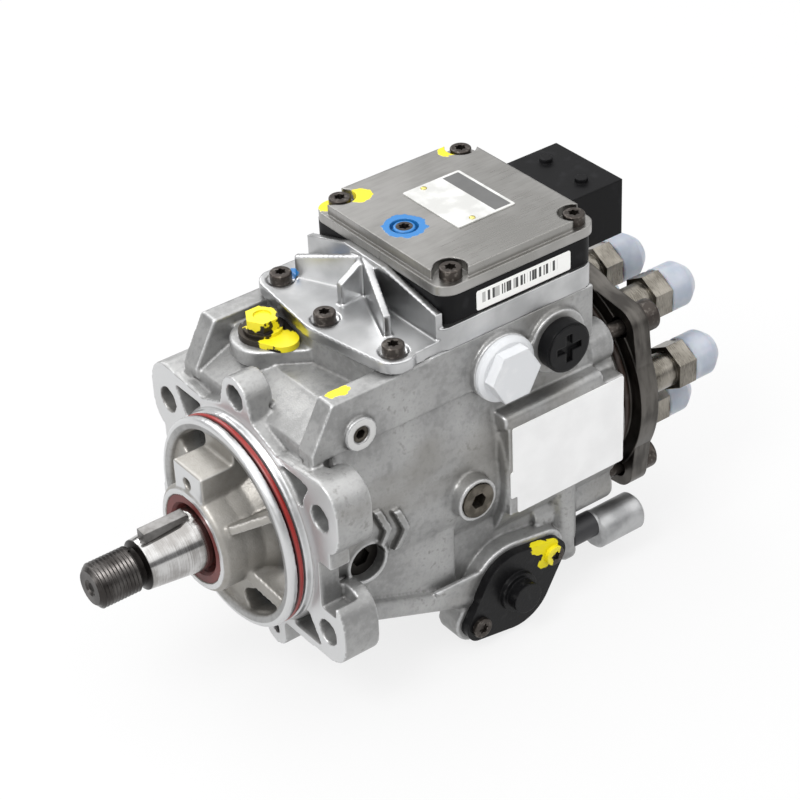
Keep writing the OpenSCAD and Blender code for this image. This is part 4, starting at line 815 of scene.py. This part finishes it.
# Side plugs. Steel plugs with hexagon sockets, plated or left black, which close the bores on
# the side. They are screwed in until they lie inside their bosses.
plug_steel, plug_shader, plug_place = new_finish("side_plug_steel")
plug_marks = plug_place.noise(240, 4.0)
plug_skin = plug_marks.step(0.36, 0.64).blend((0.075, 0.066, 0.052), (0.17, 0.152, 0.125))
behind_flange = (plug_place.part("X") - 0.04).step(-0.001, 0.001)
below_deck = (plug_place.part("Z") - 0.03).step(-0.001, 0.001)
plug_bright = behind_flange * 0.8 + below_deck * 0.5
join(plug_shader, "Base Color", plug_bright.blend((0.02, 0.018, 0.016), plug_skin))
plug_shader.inputs["Metallic"].default_value = 0.9
join(plug_shader, "Roughness", 0.32 + plug_marks * 0.14)
join(plug_shader, "Normal", plug_place.node("ShaderNodeBevel", {"samples": 4}, {"Radius": 0.0004}))
wear("side_plugs", plug_steel)

# Distributor head. Oiled dark steel, turned and faced, with the plated delivery holders in it
# and a soft translucent cap pushed over each connection.
head_steel, head_shader, head_place = new_finish("head_steel")
head_marks = head_place.noise(90, 3.0, (4, 1, 1))
head_clouds = head_place.noise(50, 5.0)
head_tone = (head_clouds * 0.6 + head_marks * 0.4).step(0.36, 0.64)
join(head_shader, "Base Color", head_tone.blend((0.05, 0.046, 0.042), (0.13, 0.122, 0.112)))
head_shader.inputs["Metallic"].default_value = 1.0
join(head_shader, "Roughness", 0.3 + (head_marks - 0.5) * 0.2 + head_clouds * 0.1)
head_edge = head_place.node("ShaderNodeBevel", {"samples": 4}, {"Radius": 0.0007})
join(head_shader, "Normal", head_place.node("ShaderNodeBump", {}, {
    "Strength": 0.1, "Distance": 0.0001, "Height": head_marks, "Normal": head_edge}))
wear("distributor_head", head_steel)
wear("metering_solenoid", head_steel)
zinc_steel = worked_metal("zinc_steel", (0.12, 0.11, 0.093), (0.30, 0.28, 0.245), 0.3,
                          scale=420, stretch=(6, 1, 1), depth=0.12)
clear_cap, cap_shader, cap_place = new_finish("clear_cap")
cap_clouds = cap_place.noise(130, 3.0)
cap_skin = cap_clouds.step(0.3, 0.7).blend((0.44, 0.49, 0.58), (0.58, 0.62, 0.69))
join(cap_shader, "Base Color", cap_skin)
cap_shader.inputs["Roughness"].default_value = 0.32
cap_shader.inputs["Transmission Weight"].default_value = 0.35
cap_shader.inputs["Subsurface Weight"].default_value = 0.3
cap_shader.inputs["Subsurface Scale"].default_value = 0.004
join(cap_shader, "Normal", cap_place.node("ShaderNodeBevel", {"samples": 4}, {"Radius": 0.0012}))
for number in range(1, 7):
    wear("delivery_holder_%d" % number, zinc_steel)
    wear("delivery_cap_%d" % number, clear_cap)
for node in ("timing_plug", "inlet_fitting", "return_fitting"):
    wear(node, zinc_steel)

# Inner parts. They are hidden inside, and each still has the finish that its real one has:
# lapped and ground steel, bronze, spring wire and a green board.
lapped = worked_metal("lapped_steel", (0.46, 0.46, 0.47), (0.62, 0.62, 0.63), 0.22, scale=900)
bronze = worked_metal("bearing_bronze", (0.42, 0.27, 0.11), (0.62, 0.44, 0.22), 0.3, scale=500)
wire = worked_metal("spring_wire", (0.22, 0.22, 0.24), (0.42, 0.42, 0.44), 0.3, scale=600)
wear("front_bearing", bronze)
wear("timing_spring", wire)
for entry in frame["record"]["subparts"]:
    if entry["material_slot"] == "inner_steel":
        wear(entry["node"], lapped)
board, board_shader, board_place = new_finish("board_lacquer")
tracks = board_place.noise(500, 1.0, (1, 6, 1)).step(0.55, 0.6)
join(board_shader, "Base Color", (tracks * 0.6).blend((0.012, 0.12, 0.05), (0.03, 0.24, 0.10)))
board_shader.inputs["Roughness"].default_value = 0.3
wear("circuit_board", board)
